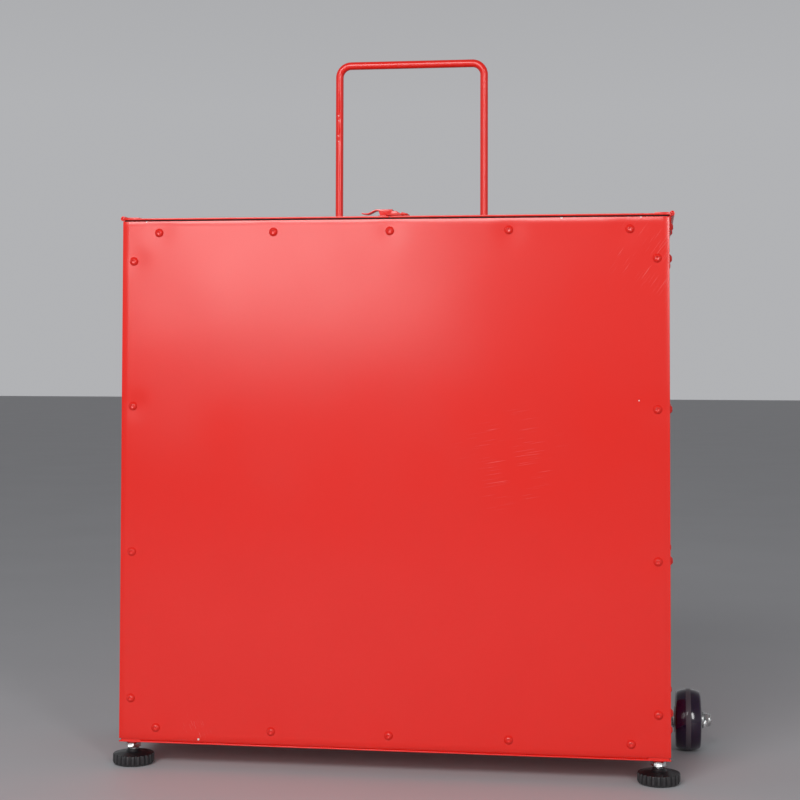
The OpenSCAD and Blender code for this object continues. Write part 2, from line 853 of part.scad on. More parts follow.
module axle_tube() {
    color(red) at_axle() translate([-axle_tube_half, 0, 0]) rotate([0, 90, 0])
        square_tube(2 * axle_tube_half);
}

module axle_lugs() {
    color(red) at_axle() for (s = [-1, 1])
        translate([s * lug_x - lug_w / 2, -tube_s / 2 - axle_standoff, -tube_s / 2 + tube_r])
            cube([lug_w, axle_standoff, tube_s - 2 * tube_r]);
}

module axle_tube_plugs() {
    color(black) at_axle() for (s = [-1, 1]) along_x(s, axle_tube_half) difference() {
        union() {
            translate([0, 0, -plug_deep / 2 + 0.5])
                cube([tube_inside, tube_inside, plug_deep + 1], center = true);
            linear_extrude(plug_flange) rounded_square(tube_s, tube_r);
        }
        translate([0, 0, -plug_deep - 1])
            cylinder(r = axle_d / 2 + run_gap, h = plug_deep + plug_flange + 2);
    }
}

module axle_rod() {
    color(zinc) at_axle() translate([-axle_half, 0, 0]) rotate([0, 90, 0])
        cylinder(d = axle_d, h = 2 * axle_half);
}

module axle_sleeves() {
    color(zinc) at_axle() for (s = [-1, 1]) along_x(s, sleeve_x) difference() {
        cylinder(r = sleeve_r, h = sleeve_l);
        translate([0, 0, -1]) cylinder(r = axle_d / 2 + run_gap, h = sleeve_l + 2);
    }
}

module axle_nuts() {
    color(zinc) at_axle() for (s = [-1, 1]) {
        along_x(s, inner_nut_x) hex_nut(nut_af, inner_nut_l, axle_d);
        along_x(s, outer_nut_x) hex_nut(nut_af, outer_nut_l, axle_d);
    }
}

module axle_washers() {
    color(zinc) at_axle() for (s = [-1, 1]) for (x = [inner_washer_x, outer_washer_x])
        along_x(s, x) difference() {
            cylinder(d = washer_d, h = washer_t);
            translate([0, 0, -1]) cylinder(r = axle_d / 2 + run_gap, h = washer_t + 2);
        }
}

// Half section of a tyre, with X outwards from the axle and Y along it
module tyre_section() {
    r = wheel_d / 2;
    half = tyre_w / 2;
    intersection() {
        union() {
            translate([core_d / 2, shoulder - half]) square([r - core_d / 2, tyre_w - 2 * shoulder]);
            translate([core_d / 2, -half]) square([r - shoulder - core_d / 2, tyre_w]);
            for (s = [-1, 1]) translate([r - shoulder, s * (half - shoulder)]) intersection() {
                circle(shoulder);
                translate([core_d / 2 - r + shoulder, -tyre_w]) square(2 * tyre_w);
            }
        }
        translate([r - crown_r, 0]) circle(crown_r, $fn = 96);
    }
}

// Crowned polyurethane tyre cast on the core
module tyre(side) {
    color(purple) at_axle() translate([side * wheel_x, 0, 0]) rotate([0, 90, 0])
        rotate_extrude($fn = 96) tyre_section();
}

module left_tyre() { tyre(-1); }
module right_tyre() { tyre(1); }

module hub(side) {
    color(zinc) at_axle() translate([side * wheel_x, 0, 0]) rotate([0, 90, 0]) difference() {
        union() {
            translate([0, 0, -tyre_w / 2]) cylinder(d = core_d, h = tyre_w);
            translate([0, 0, -hub_w / 2]) cylinder(d = hub_boss_d, h = hub_w);
        }
        for (s = [-1, 1]) {
            translate([0, 0, s * hub_w / 2]) rotate([s > 0 ? 180 : 0, 0, 0])
                translate([0, 0, -1]) cylinder(d = bearing_d, h = bearing_w + 1);
            translate([0, 0, s * tyre_w / 2]) difference() {
                cylinder(r = web_r, h = 2 * web_dish, center = true);
                cylinder(d = hub_boss_d, h = 2 * web_dish + 2, center = true);
            }
        }
        translate([0, 0, -hub_w]) cylinder(r = sleeve_r + swing_gap, h = 2 * hub_w);
    }
}

module left_hub() { hub(-1); }
module right_hub() { hub(1); }

module bearings(side) {
    color(zinc) at_axle() translate([side * wheel_x, 0, 0]) rotate([0, 90, 0])
        for (s = [-1, 1])
            translate([0, 0, s * (hub_w - bearing_w) / 2]) difference() {
                cylinder(d = bearing_d, h = bearing_w, center = true);
                cylinder(r = sleeve_r + 0.2, h = bearing_w + 2, center = true);
            }
}

module left_bearings() { bearings(-1); }
module right_bearings() { bearings(1); }

// ---- levelling feet ----

module at_foot(side) {
    at_floor() translate([side * post_x, post_front_y, 0]) children();
}

// Square plug with a round threaded boss, welded into each front post's lower end
module foot_bosses() {
    color(red) for (side = [-1, 1]) at_foot(side) difference() {
        union() {
            translate([0, 0, boss_up / 2])
                cube([tube_inside, tube_inside, boss_up], center = true);
            translate([0, 0, -boss_drop]) cylinder(r = boss_r, h = boss_drop + 1);
        }
        translate([0, 0, -boss_drop - 1])
            cylinder(r = stud_d / 2 + run_gap, h = boss_drop + boss_up + 2);
    }
}

module foot_lock_nuts() {
    color(zinc) for (side = [-1, 1]) at_foot(side)
        translate([0, 0, -boss_drop - jam_nut_l]) hex_nut(nut_af, jam_nut_l, stud_d);
}

module foot_stud(side) {
    color(zinc) at_foot(side) translate([0, 0, stud_foot])
        cylinder(d = stud_d, h = stud_up - stud_foot);
}

module left_foot_stud() { foot_stud(-1); }
module right_foot_stud() { foot_stud(1); }

module foot_pad(side) {
    r = pad_d / 2;
    profile = [[0, pad_base], [r - 3, pad_base], [r - 0.6, pad_base + 2.4], [r, pad_base + 4],
               [r, pad_top - 1.2], [r - 1.2, pad_top], [r - 5, pad_top + 0.3],
               [r - 9, pad_top + 1.6], [stud_d / 2 + 4.5, pad_top + 2],
               [stud_d / 2 + 2.5, pad_top + 5], [0, pad_top + 5]];
    color(black) at_foot(side) difference() {
        rotate_extrude($fn = 96) polygon(profile);
        translate([0, 0, stud_foot]) cylinder(d = stud_d, h = 2 * pad_rim + 10);
        for (i = [0 : flutes - 1]) rotate([0, 0, (i + 0.5) * 360 / flutes])
            translate([r + flute_out, 0, pad_base - 1]) cylinder(d = flute_d, h = pad_rim + 3);
    }
}

module left_foot_pad() { foot_pad(-1); }
module right_foot_pad() { foot_pad(1); }

front_panel();
rear_panel();
left_side_panel();
right_side_panel();
bottom_panel();
front_left_post();
front_right_post();
rear_left_post();
rear_right_post();
front_top_rail();
front_bottom_rail();
rear_top_rail();
rear_bottom_rail();
side_rails();
front_screws();
rear_screws();
side_screws();
bottom_screws();
rivet_nuts();
post_plugs();
lid_seal();
fixed_leaves();
hinge_pins();
hinge_screws();
left_lid_panel();
left_lid_leaf();
left_lid_rivets();
latch_base();
right_lid_panel();
right_lid_leaf();
right_lid_rivets();
latch_catch();
latch_lever();
latch_bail();
handle_bar();
handle_sliders();
left_guide_tube();
right_guide_tube();
guide_bushes();
guide_brackets();
bracket_screws();
axle_tube();
axle_lugs();
axle_tube_plugs();
axle_rod();
axle_sleeves();
axle_nuts();
axle_washers();
left_tyre();
left_hub();
left_bearings();
right_tyre();
right_hub();
right_bearings();
foot_bosses();
foot_lock_nuts();
left_foot_stud();
left_foot_pad();
right_foot_stud();
right_foot_pad();
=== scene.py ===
# %% [markdown]
# # A wheeled sheet-steel equipment case
# The case is a flat box of plain steel sheets screwed to a welded frame of
# square tube. Two hinged lids close its top, a bent bar behind it is the pull
# handle, and it stands on two levelling feet in front and two wheels behind.
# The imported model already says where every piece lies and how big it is. This
# script gives those pieces the shape and the finish that the eye expects: soft
# paint edges, dimples round the screws, threads, flutes, wear.

import json
from math import atan2, ceil, cos, pi, radians, sin, sqrt

import bmesh
import bpy
from mathutils import Matrix, Vector

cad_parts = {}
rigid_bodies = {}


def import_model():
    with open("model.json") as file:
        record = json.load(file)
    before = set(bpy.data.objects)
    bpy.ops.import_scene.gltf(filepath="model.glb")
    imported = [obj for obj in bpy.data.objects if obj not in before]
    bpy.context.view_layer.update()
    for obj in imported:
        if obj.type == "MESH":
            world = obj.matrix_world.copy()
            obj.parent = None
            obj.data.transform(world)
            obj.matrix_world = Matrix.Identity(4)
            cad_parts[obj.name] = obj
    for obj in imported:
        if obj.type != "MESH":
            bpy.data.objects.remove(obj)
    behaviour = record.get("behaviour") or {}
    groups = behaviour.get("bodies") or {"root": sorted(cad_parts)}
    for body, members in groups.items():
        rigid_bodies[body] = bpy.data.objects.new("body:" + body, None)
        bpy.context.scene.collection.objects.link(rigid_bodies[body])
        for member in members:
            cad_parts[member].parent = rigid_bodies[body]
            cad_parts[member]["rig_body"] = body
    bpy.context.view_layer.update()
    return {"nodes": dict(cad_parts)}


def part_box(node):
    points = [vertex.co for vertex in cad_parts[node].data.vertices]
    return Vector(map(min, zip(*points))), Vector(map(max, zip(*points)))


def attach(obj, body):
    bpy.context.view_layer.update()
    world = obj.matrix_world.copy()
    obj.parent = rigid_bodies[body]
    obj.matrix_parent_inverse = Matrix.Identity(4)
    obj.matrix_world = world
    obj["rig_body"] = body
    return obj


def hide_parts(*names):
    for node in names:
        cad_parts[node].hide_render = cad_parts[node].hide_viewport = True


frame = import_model()
MM = 0.001
print("pieces in the packed model:", len(frame["nodes"]))

# %% [markdown]
# ## Places and sizes
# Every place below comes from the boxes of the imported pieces, so nothing has to
# be fitted by eye. `solids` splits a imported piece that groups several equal
# solids, such as a set of screws, and gives the box of each one.

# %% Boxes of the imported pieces
def solids(node):
    """(lowest corner, highest corner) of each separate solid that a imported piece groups."""
    mesh = bmesh.new()
    mesh.from_mesh(frame["nodes"][node].data)
    bmesh.ops.remove_doubles(mesh, verts=mesh.verts, dist=1e-6)
    left, boxes = set(mesh.verts), []
    while left:
        island, edge = [], [left.pop()]
        while edge:
            vert = edge.pop()
            island.append(vert.co.copy())
            near = {e.other_vert(vert) for e in vert.link_edges} & left
            left -= near
            edge += near
        boxes.append((Vector(map(min, zip(*island))), Vector(map(max, zip(*island)))))
    mesh.free()
    return sorted(boxes, key=lambda b: tuple(round(v, 5) for v in b[0]))


def middle(box):
    return (box[0] + box[1]) / 2


front_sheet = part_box("front_panel")
rear_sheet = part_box("rear_panel")
case_left, case_front, case_foot = front_sheet[0]
case_right, case_top = front_sheet[1].x, front_sheet[1].z
case_rear = rear_sheet[1].y
print(f"case {case_right - case_left:.3f} x {case_rear - case_front:.3f} x {case_top - case_foot:.3f} m")

# %% [markdown]
# ## Camera
# The camera stands a little to the right of the case and looks slightly left and
# up, with a long lens. The lens is shifted down as on a view camera, so the
# uprights stay nearly parallel.

# %% Camera
lens = bpy.data.cameras.new("camera")
lens.lens = 75.4
lens.shift_y = -0.12
lens.clip_end = 100
camera = bpy.data.objects.new("camera", lens)
camera.location = (0.300, -2.051, 0.481)
camera.rotation_euler = (radians(91.98), radians(-0.14), radians(8.41))
bpy.context.scene.collection.objects.link(camera)
bpy.context.scene.camera = camera
bpy.context.scene.view_settings.view_transform = "Standard"

# %% [markdown]
# ## Materials
# `tint` turns an ordinary sRGB hex value into the linear numbers that shaders
# use. `add` puts one node into a material with its settings and its links, and
# `dress` links the finished colour, roughness and relief to the shader. Every
# pattern reads Object coordinates, which are metres here, so a pattern whose
# features are `size` metres across has a scale of `1 / size`.

# %% Helpers for materials
def tint(hex_value):
    def linear(c):
        return c / 12.92 if c <= 0.04045 else ((c + 0.055) / 1.055) ** 2.4
    return (*[linear(int(hex_value[i:i + 2], 16) / 255) for i in (1, 3, 5)], 1.0)


def add(tree, kind, links=None, **settings):
    """Adds one shader node. links gives an input a value, or another node's output."""
    made = tree.nodes.new("ShaderNode" + kind)
    for name, value in settings.items():
        setattr(made, name, value)
    for name, value in (links or {}).items():
        if isinstance(value, bpy.types.NodeSocket):
            tree.links.new(value, made.inputs[name])
        else:
            made.inputs[name].default_value = value
    return made


def new_material(name, **constants):
    """A material with a Principled shader whose plain numbers are set on its own sockets."""
    material = bpy.data.materials.new(name)
    material.use_nodes = True
    tree = material.node_tree
    tree.nodes.clear()
    shader = add(tree, "BsdfPrincipled", {k.replace("_", " "): v for k, v in constants.items()})
    add(tree, "OutputMaterial", {"Surface": shader.outputs["BSDF"]})
    place = add(tree, "TexCoord").outputs["Object"]
    return material, tree, shader, place


def dress(tree, shader, colour, rough, relief):
    """Links a finished pattern's colour, roughness and relief to the shader."""
    for socket, pattern in (("Base Color", colour), ("Roughness", rough), ("Normal", relief)):
        tree.links.new(pattern, shader.inputs[socket])


# %% [markdown]
# ### Sprayed red enamel on steel
# Gloss enamel is a smooth coloured film with a clear skin. A spray gun leaves
# orange peel, ripples one or two millimetres across, which blur what the film
# reflects, and thin sheet under it is never quite flat, which bends reflections
# over a hand's breadth. Handling leaves faint dull patches.

# %% Enamel
PEEL = 2.2 * MM      # real ripples are nearer 1 mm, drawn coarser so that they show
WARP = 140 * MM      # waviness of the sheet under the paint
PATCH = 90 * MM      # patches dulled by handling
SCRATCH = 0.5 * MM   # width of a scratch, drawn at twice its real width so that it shows
FLAKE = 0.8 * MM     # teeth of a chip's ragged edge
PRIMER = tint("#E0CFCB")


def make_enamel(name, warp=0.5, chips=(), scuffs=()):
    """Red enamel. chips are (place, size) of spots knocked down to the pale primer.
    scuffs are (place, reach, lean in degrees) of groups of fine scratches on a sheet that faces Y."""
    material, tree, shader, place = new_material(name, IOR=1.5, Coat_Weight=0.15,
                                                 Coat_Roughness=0.18)
    patches = add(tree, "TexNoise", {"Vector": place, "Scale": 1 / PATCH, "Detail": 1.0})
    shade = add(tree, "Mix", {0: patches.outputs[0], 6: tint("#E8251A"), 7: tint("#E42116")},
                data_type="RGBA").outputs[2]
    dull = add(tree, "MapRange", {"Value": patches.outputs[0], "To Min": 0.17, "To Max": 0.27}
               ).outputs[0]
    ripple = add(tree, "TexNoise", {"Vector": place, "Scale": 1 / PEEL, "Detail": 1.0})
    peel = add(tree, "Bump", {"Height": ripple.outputs[0], "Strength": 0.1,
                              "Distance": 0.05 * MM})
    wave = add(tree, "TexNoise", {"Vector": place, "Scale": 1 / WARP, "Detail": 0.0})
    bent = add(tree, "Bump", {"Height": wave.outputs[0], "Strength": warp,
                              "Distance": 2.0 * MM, "Normal": peel.outputs[0]})
    worn = []
    for where, size in chips:
        grain = add(tree, "TexNoise", {"Vector": place, "Scale": 1 / FLAKE, "Detail": 3.0})
        away = add(tree, "VectorMath", {0: place, 1: where}, operation="DISTANCE")
        ragged = add(tree, "Math", {0: grain.outputs[0], 1: size, 2: away.outputs["Value"]},
                     operation="MULTIPLY_ADD")
        worn.append(add(tree, "Math", {0: ragged.outputs[0], 1: size * 1.4},
                        operation="LESS_THAN").outputs[0])
    for where, reach, lean in scuffs:
        drawn = add(tree, "Mapping", {"Vector": place, "Location": where,
                                      "Rotation": (0, radians(lean), 0),
                                      "Scale": (SCRATCH, 1, reach * 0.7)}, vector_type="TEXTURE")
        lines = add(tree, "TexNoise", {"Vector": drawn.outputs[0], "Scale": 1.0, "Detail": 1.0})
        thin = add(tree, "MapRange", {"Value": lines.outputs[0], "From Min": 0.68,
                                      "From Max": 0.78, "To Max": 0.35}).outputs[0]
        away = add(tree, "VectorMath", {0: place, 1: where}, operation="DISTANCE")
        fade = add(tree, "MapRange", {"Value": away.outputs["Value"], "From Min": reach * 0.5,
                                      "From Max": reach, "To Min": 1.0, "To Max": 0.0}).outputs[0]
        worn.append(add(tree, "Math", {0: thin, 1: fade}, operation="MULTIPLY").outputs[0])
    for mark in worn:
        shade = add(tree, "Mix", {0: mark, 6: shade, 7: PRIMER}, data_type="RGBA").outputs[2]
        dull = add(tree, "Mix", {0: mark, 2: dull, 3: 0.6}).outputs[0]
    dress(tree, shader, shade, dull, bent.outputs[0])
    return material


def on_front(across, down):
    """A place on the front sheet, from its upper left corner, as shares of its width and height."""
    return Vector((case_left + (case_right - case_left) * across, case_front,
                   case_top - (case_top - case_foot) * down))


enamel = make_enamel("gloss_enamel_sprayed")
front_enamel = make_enamel(
    "gloss_enamel_on_front",
    chips=[(on_front(0.81, 0.0), 1.6 * MM), (on_front(0.95, 0.0), 1.3 * MM),
           (on_front(0.045, 0.0), 1.2 * MM), (on_front(0.946, 0.343), 0.9 * MM),
           (on_front(0.15, 0.997), 1.5 * MM)],
    scuffs=[(on_front(0.97, 0.08), 60 * MM, 35), (on_front(0.145, 0.98), 24 * MM, -22),
            (on_front(0.72, 0.45), 70 * MM, 80)])

# %% [markdown]
# ### Zinc-plated steel
# Nuts, washers, studs and the axle are steel with a bright zinc skin a few
# microns thick. It mirrors softly, has a faint blue and yellow cast from its
# passivation, and goes dull grey in cloudy spots.

# %% Zinc plate
CLOUD = 5 * MM
GRAIN = 0.6 * MM     # drawn marks left by turning and rolling

zinc, tree, shader, place = new_material("zinc_plated_steel", Metallic=1.0)
cloud = add(tree, "TexNoise", {"Vector": place, "Scale": 1 / CLOUD, "Detail": 5.0})
cast = add(tree, "Mix", {0: cloud.outputs[0], 6: tint("#DFE2E6"), 7: tint("#C4C3BE")},
           data_type="RGBA")
dull = add(tree, "MapRange", {"Value": cloud.outputs[0], "From Min": 0.35, "From Max": 0.7,
                              "To Min": 0.22, "To Max": 0.4})
grain = add(tree, "TexNoise", {"Vector": place, "Scale": 1 / GRAIN, "Detail": 2.0})
relief = add(tree, "Bump", {"Height": grain.outputs[0], "Strength": 0.15, "Distance": 0.1 * MM})
dress(tree, shader, cast.outputs[2], dull.outputs[0], relief.outputs[0])

# %% [markdown]
# ### Cast purple polyurethane
# The tyre is cast polyurethane: dark, glossy and a little translucent. Rolling
# scuffs a narrow grey band round its crown and leaves dust there, while the
# shoulders stay shiny. The band is found from the distance to the middle plane
# of the wheel, so it follows the tread all the way round.

# %% Polyurethane for one wheel
BAND = 6 * MM        # width of the scuffed band
DUST = 1.5 * MM      # specks of dust in it
WANDER = 1.2 * MM    # how far the band's edge wanders
TREAD = 2 * MM       # depth below the crown that still counts as tread
SKIN = 4 * MM        # slow ripple of the cast skin


def make_polyurethane(name, tyre_node):
    low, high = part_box(tyre_node)
    centre = (low + high) / 2
    radius = (high.z - low.z) / 2
    material, tree, shader, place = new_material(
        name, IOR=1.5, Subsurface_Weight=0.08, Subsurface_Scale=2 * MM,
        Coat_Weight=0.35, Coat_Roughness=0.06)
    here = add(tree, "VectorMath", {0: place, 1: centre}, operation="SUBTRACT").outputs[0]
    split = add(tree, "SeparateXYZ", {0: here})
    flat = add(tree, "CombineXYZ", {"Y": split.outputs["Y"], "Z": split.outputs["Z"]})
    out = add(tree, "VectorMath", {0: flat.outputs[0]}, operation="LENGTH").outputs["Value"]
    dust = add(tree, "TexNoise", {"Vector": place, "Scale": 1 / DUST, "Detail": 4.0})
    across = add(tree, "Math", {0: split.outputs["X"]}, operation="ABSOLUTE").outputs[0]
    ragged = add(tree, "Math", {0: dust.outputs[0], 1: WANDER, 2: across},
                 operation="MULTIPLY_ADD").outputs[0]
    crown = add(tree, "MapRange", {"Value": ragged, "From Min": BAND / 2 + 0.2 * MM,
                                   "From Max": BAND / 2 + 1.0 * MM, "To Min": 1.0,
                                   "To Max": 0.0}).outputs[0]
    tread = add(tree, "Math", {0: out, 1: radius - TREAD}, operation="GREATER_THAN").outputs[0]
    band = add(tree, "Math", {0: crown, 1: tread}, operation="MULTIPLY").outputs[0]
    colour = add(tree, "Mix", {0: band, 6: tint("#22082A"), 7: tint("#4F464F")},
                 data_type="RGBA").outputs[2]
    rough = add(tree, "MapRange", {"Value": band, "To Min": 0.14, "To Max": 0.6}).outputs[0]
    skin = add(tree, "TexNoise", {"Vector": place, "Scale": 1 / SKIN, "Detail": 2.0})
    relief = add(tree, "Bump", {"Height": skin.outputs[0], "Strength": 0.08,
                                "Distance": 0.3 * MM})
    dress(tree, shader, colour, rough, relief.outputs[0])
    return material


# %% [markdown]
# ### Moulded plastics and rubber
# The plugs, the bushes and the foot pads are black glass-filled polyamide from a
# spark-eroded mould, which gives a fine even grain and a soft sheen. The wheels'
# cores are grey polyamide, the sliders and the lock nuts' rings are natural
# nylon, and the lid seal is matt cellular rubber, tinted dark maroon: that tone is
# painted shade, the red-lit shadow of the gap under the lids' front edges. They
# differ only in shade, roughness and grain, so one function makes them all.

# %% Polyamide, cellular rubber, nylon and the wheels' cores
def make_plastic(name, colours, rough, grain, depth, **constants):
    """A moulded plastic or rubber with two close shades and a grained skin."""
    material, tree, shader, place = new_material(name, **constants)
    cloud = add(tree, "TexNoise", {"Vector": place, "Scale": 1 / (grain * 8), "Detail": 5.0})
    shade = add(tree, "Mix", {0: cloud.outputs[0], 6: tint(colours[0]), 7: tint(colours[1])},
                data_type="RGBA")
    dull = add(tree, "MapRange", {"Value": cloud.outputs[0], "From Min": 0.3, "From Max": 0.7,
                                  "To Min": rough - 0.06, "To Max": rough + 0.08})
    skin = add(tree, "TexNoise", {"Vector": place, "Scale": 1 / grain, "Detail": 2.0})
    relief = add(tree, "Bump", {"Height": skin.outputs[0], "Strength": 0.35, "Distance": depth})
    dress(tree, shader, shade.outputs[2], dull.outputs[0], relief.outputs[0])
    return material


polyamide = make_plastic("black_polyamide_moulded", ("#19181A", "#262528"), 0.42,
                         0.9 * MM, 0.12 * MM)
# The seal's dark maroon shades are painted shade: they copy the red-lit shadow in the gap under the lids,
# and the bearing shields share them.
rubber = make_plastic("cellular_rubber_maroon_painted_gap_shade", ("#2A0B0A", "#33100E"), 0.85,
                      1.2 * MM, 0.4 * MM)
nylon = make_plastic("natural_nylon_moulded", ("#DAD6CA", "#CFCABC"), 0.4,
                     1.0 * MM, 0.05 * MM, Subsurface_Weight=0.1, Subsurface_Scale=1 * MM)
core = make_plastic("grey_polyamide_core", ("#A6A7A9", "#8E9093"), 0.45, 1.0 * MM, 0.08 * MM)

# %% [markdown]
# ## Tools for modelling by hand
# A modelling operator acts on whatever is selected, so each step starts from
# nothing and selects in code, by place or by direction. `lathe` draws a profile
# one vertex at a time and spins it round Z, as a turner would. `bend_bar` pushes
# a round section along straight runs and round bends, as a tube bender would.

# %% Selecting, modifiers and edges
def only(piece):
    """Makes piece the one selected and active object."""
    bpy.ops.object.select_all(action="DESELECT")
    piece.select_set(True)
    bpy.context.view_layer.objects.active = piece


def choose(piece, kind, test):
    """Selects the vertices, edges or faces of the mesh in edit mode that pass the test."""
    mesh = bmesh.from_edit_mesh(piece.data)
    for part in (mesh.faces, mesh.edges, mesh.verts):
        for item in part:
            item.select = False
    found = [item for item in getattr(mesh, kind) if test(item)]
    for item in found:
        item.select_set(True)
    mesh.select_flush_mode()
    bmesh.update_edit_mesh(piece.data)
    return len(found)


def end():
    bpy.ops.object.mode_set(mode="OBJECT")


def apply(piece, kind, **settings):
    """Adds a modifier and applies it at once."""
    only(piece)
    modifier = piece.modifiers.new("step", kind)
    for name, value in settings.items():
        setattr(modifier, name, value)
    bpy.ops.object.modifier_apply(modifier="step")


def soften(piece, width=0.4 * MM, segments=2, angle=32):
    """Rounds the sharp edges as paint and tumbling do, then shades the rest smooth."""
    apply(piece, "BEVEL", width=width, segments=segments, limit_method="ANGLE",
          angle_limit=radians(angle), use_clamp_overlap=True, harden_normals=False)
    smooth(piece)


def smooth(piece, angle=34):
    only(piece)
    bpy.ops.object.shade_smooth_by_angle(angle=radians(angle))


def cut(piece, tool, operation="DIFFERENCE"):
    apply(piece, "BOOLEAN", object=tool, operation=operation, solver="EXACT")
    bpy.data.objects.remove(tool)


# %% Primitives
def added(name):
    """Names the primitive that was just added."""
    piece = bpy.context.active_object
    piece.name = name
    return piece


def rod(name, radius, length, place=None, sides=32):
    """A cylinder primitive that stands on the origin along +Z, or where place puts it."""
    bpy.ops.object.select_all(action="DESELECT")
    bpy.ops.mesh.primitive_cylinder_add(vertices=sides, radius=radius, depth=length)
    piece = added(name)
    piece.data.transform(Matrix.Translation((0, 0, length / 2)))
    if place is not None:
        piece.data.transform(place)
    return piece


# %% Turning and bending
def arc(x, z, radius, start, stop, steps=6):
    """Points of an arc round (x, z), with angles in degrees from +X towards +Z."""
    turns = [radians(start + (stop - start) * i / steps) for i in range(steps + 1)]
    return [(x + radius * cos(a), z + radius * sin(a)) for a in turns]


def lathe(name, profile, ring=False, steps=48):
    """Draws a profile of (radius, height) points and spins it round Z. A ring's profile closes on itself."""
    bpy.ops.object.select_all(action="DESELECT")
    bpy.ops.mesh.primitive_plane_add(size=MM)
    piece = added(name)
    bpy.ops.object.mode_set(mode="EDIT")
    bpy.ops.mesh.select_mode(type="VERT")
    bpy.ops.mesh.merge(type="CENTER")
    here = Vector((0, 0, 0))
    for i, (radius, height) in enumerate(profile):
        step = Vector((radius, 0, height)) - here
        here += step
        if i == 0:
            bpy.ops.transform.translate(value=step)
        else:
            bpy.ops.mesh.extrude_region_move(TRANSFORM_OT_translate={"value": step})
    if ring:
        first, last = Vector((profile[0][0], 0, profile[0][1])), here
        choose(piece, "verts", lambda v: min((v.co - first).length, (v.co - last).length) < 1e-7)
        bpy.ops.mesh.edge_face_add()
    bpy.ops.mesh.select_all(action="SELECT")
    bpy.ops.mesh.spin(steps=steps, angle=2 * pi, center=(0, 0, 0), axis=(0, 0, 1))
    bpy.ops.mesh.select_all(action="SELECT")
    bpy.ops.mesh.remove_doubles(threshold=1e-6)
    bpy.ops.mesh.normals_make_consistent(inside=False)
    end()
    return piece


def bend_bar(name, radius, start, heading, moves, sides=24):
    """Pushes a round section along. A move is a run length, or a bend (centre, axis, degrees).
    The spin operator counts its angle the other way round from a rotation matrix."""
    bpy.ops.object.select_all(action="DESELECT")
    bpy.ops.mesh.primitive_circle_add(vertices=sides, radius=radius, fill_type="NGON")
    piece = added(name)
    heading = Vector(heading)
    piece.data.transform(Matrix.Translation(start) @ heading.to_track_quat("Z", "Y").to_matrix().to_4x4())
    bpy.ops.object.mode_set(mode="EDIT")
    bpy.ops.mesh.select_mode(type="FACE")
    bpy.ops.mesh.select_all(action="SELECT")
    for move in moves:
        if isinstance(move, tuple):
            centre, axis, turn = move
            bpy.ops.mesh.spin(steps=max(6, round(abs(turn) / 7)), angle=-radians(turn),
                              center=centre, axis=axis)
            heading = Matrix.Rotation(radians(turn), 3, axis) @ heading
        else:
            bpy.ops.mesh.extrude_region_move(TRANSFORM_OT_translate={"value": heading * move})
    bpy.ops.mesh.select_all(action="SELECT")
    bpy.ops.mesh.remove_doubles(threshold=1e-6)
    bpy.ops.mesh.normals_make_consistent(inside=False)
    end()
    smooth(piece, 40)
    return piece


# %% Placing, copying and joining
def facing(place, direction, turn=0.0):
    """Puts a shape that stands on the origin along +Z at place, pointing in direction."""
    aim = Vector(direction).to_track_quat("Z", "Y").to_matrix().to_4x4()
    return Matrix.Translation(place) @ aim @ Matrix.Rotation(turn, 4, "Z")


def copies(master, name, places):
    """One copy of master with its own mesh at each place, joined into one piece."""
    made = []
    for place in places:
        twin = bpy.data.objects.new(name, master.data.copy())
        twin.data.transform(place)
        bpy.context.scene.collection.objects.link(twin)
        made.append(twin)
    only(made[0])
    for twin in made:
        twin.select_set(True)
    if len(made) > 1:
        bpy.ops.object.join()
    made[0].name = name
    return made[0]


def join(name, *pieces):
    only(pieces[0])
    for piece in pieces:
        piece.select_set(True)
    bpy.ops.object.join()
    pieces[0].name = name
    return pieces[0]


# %% [markdown]
# ### Handing a piece over
# Each new piece takes its finish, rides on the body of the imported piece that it
# stands for, and is shown instead of it. One function does all three, so that no
# piece can miss a step.

# %% Handing a finished piece to the frame
done = []


def stand_in(piece, material, slot, *nodes):
    """The piece takes a material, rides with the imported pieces' body and is shown in their place."""
    if material is not None:
        piece.data.materials.clear()
        piece.data.materials.append(material)
    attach(piece, frame["nodes"][nodes[0]]["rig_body"])
    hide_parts(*nodes)
    done.extend(nodes)
    print(f"{piece.name}: {len(piece.data.polygons)} faces")
    return piece


# %% [markdown]
# ## The sheets
# Each panel is a flat sheet with a row of screws near its edges. A screw pulls
# the thin sheet onto the tube behind it and leaves a shallow dimple, which the
# gloss shows up. A grid has the vertices that a dimple needs: one vertex under
# each screw is pushed in with proportional editing, and its neighbours follow.
# Solidify then gives the sheet its thickness and a bevel its painted edges.

# %% A sheet with dimples
DIMPLE = 0.45 * MM       # depth of a screw's dimple
DIMPLE_REACH = 24 * MM
RIVET_HOLLOW = 0.3       # a rivet pulls its sheet in by this share of a screw's dimple
MESH_STEP = 8 * MM


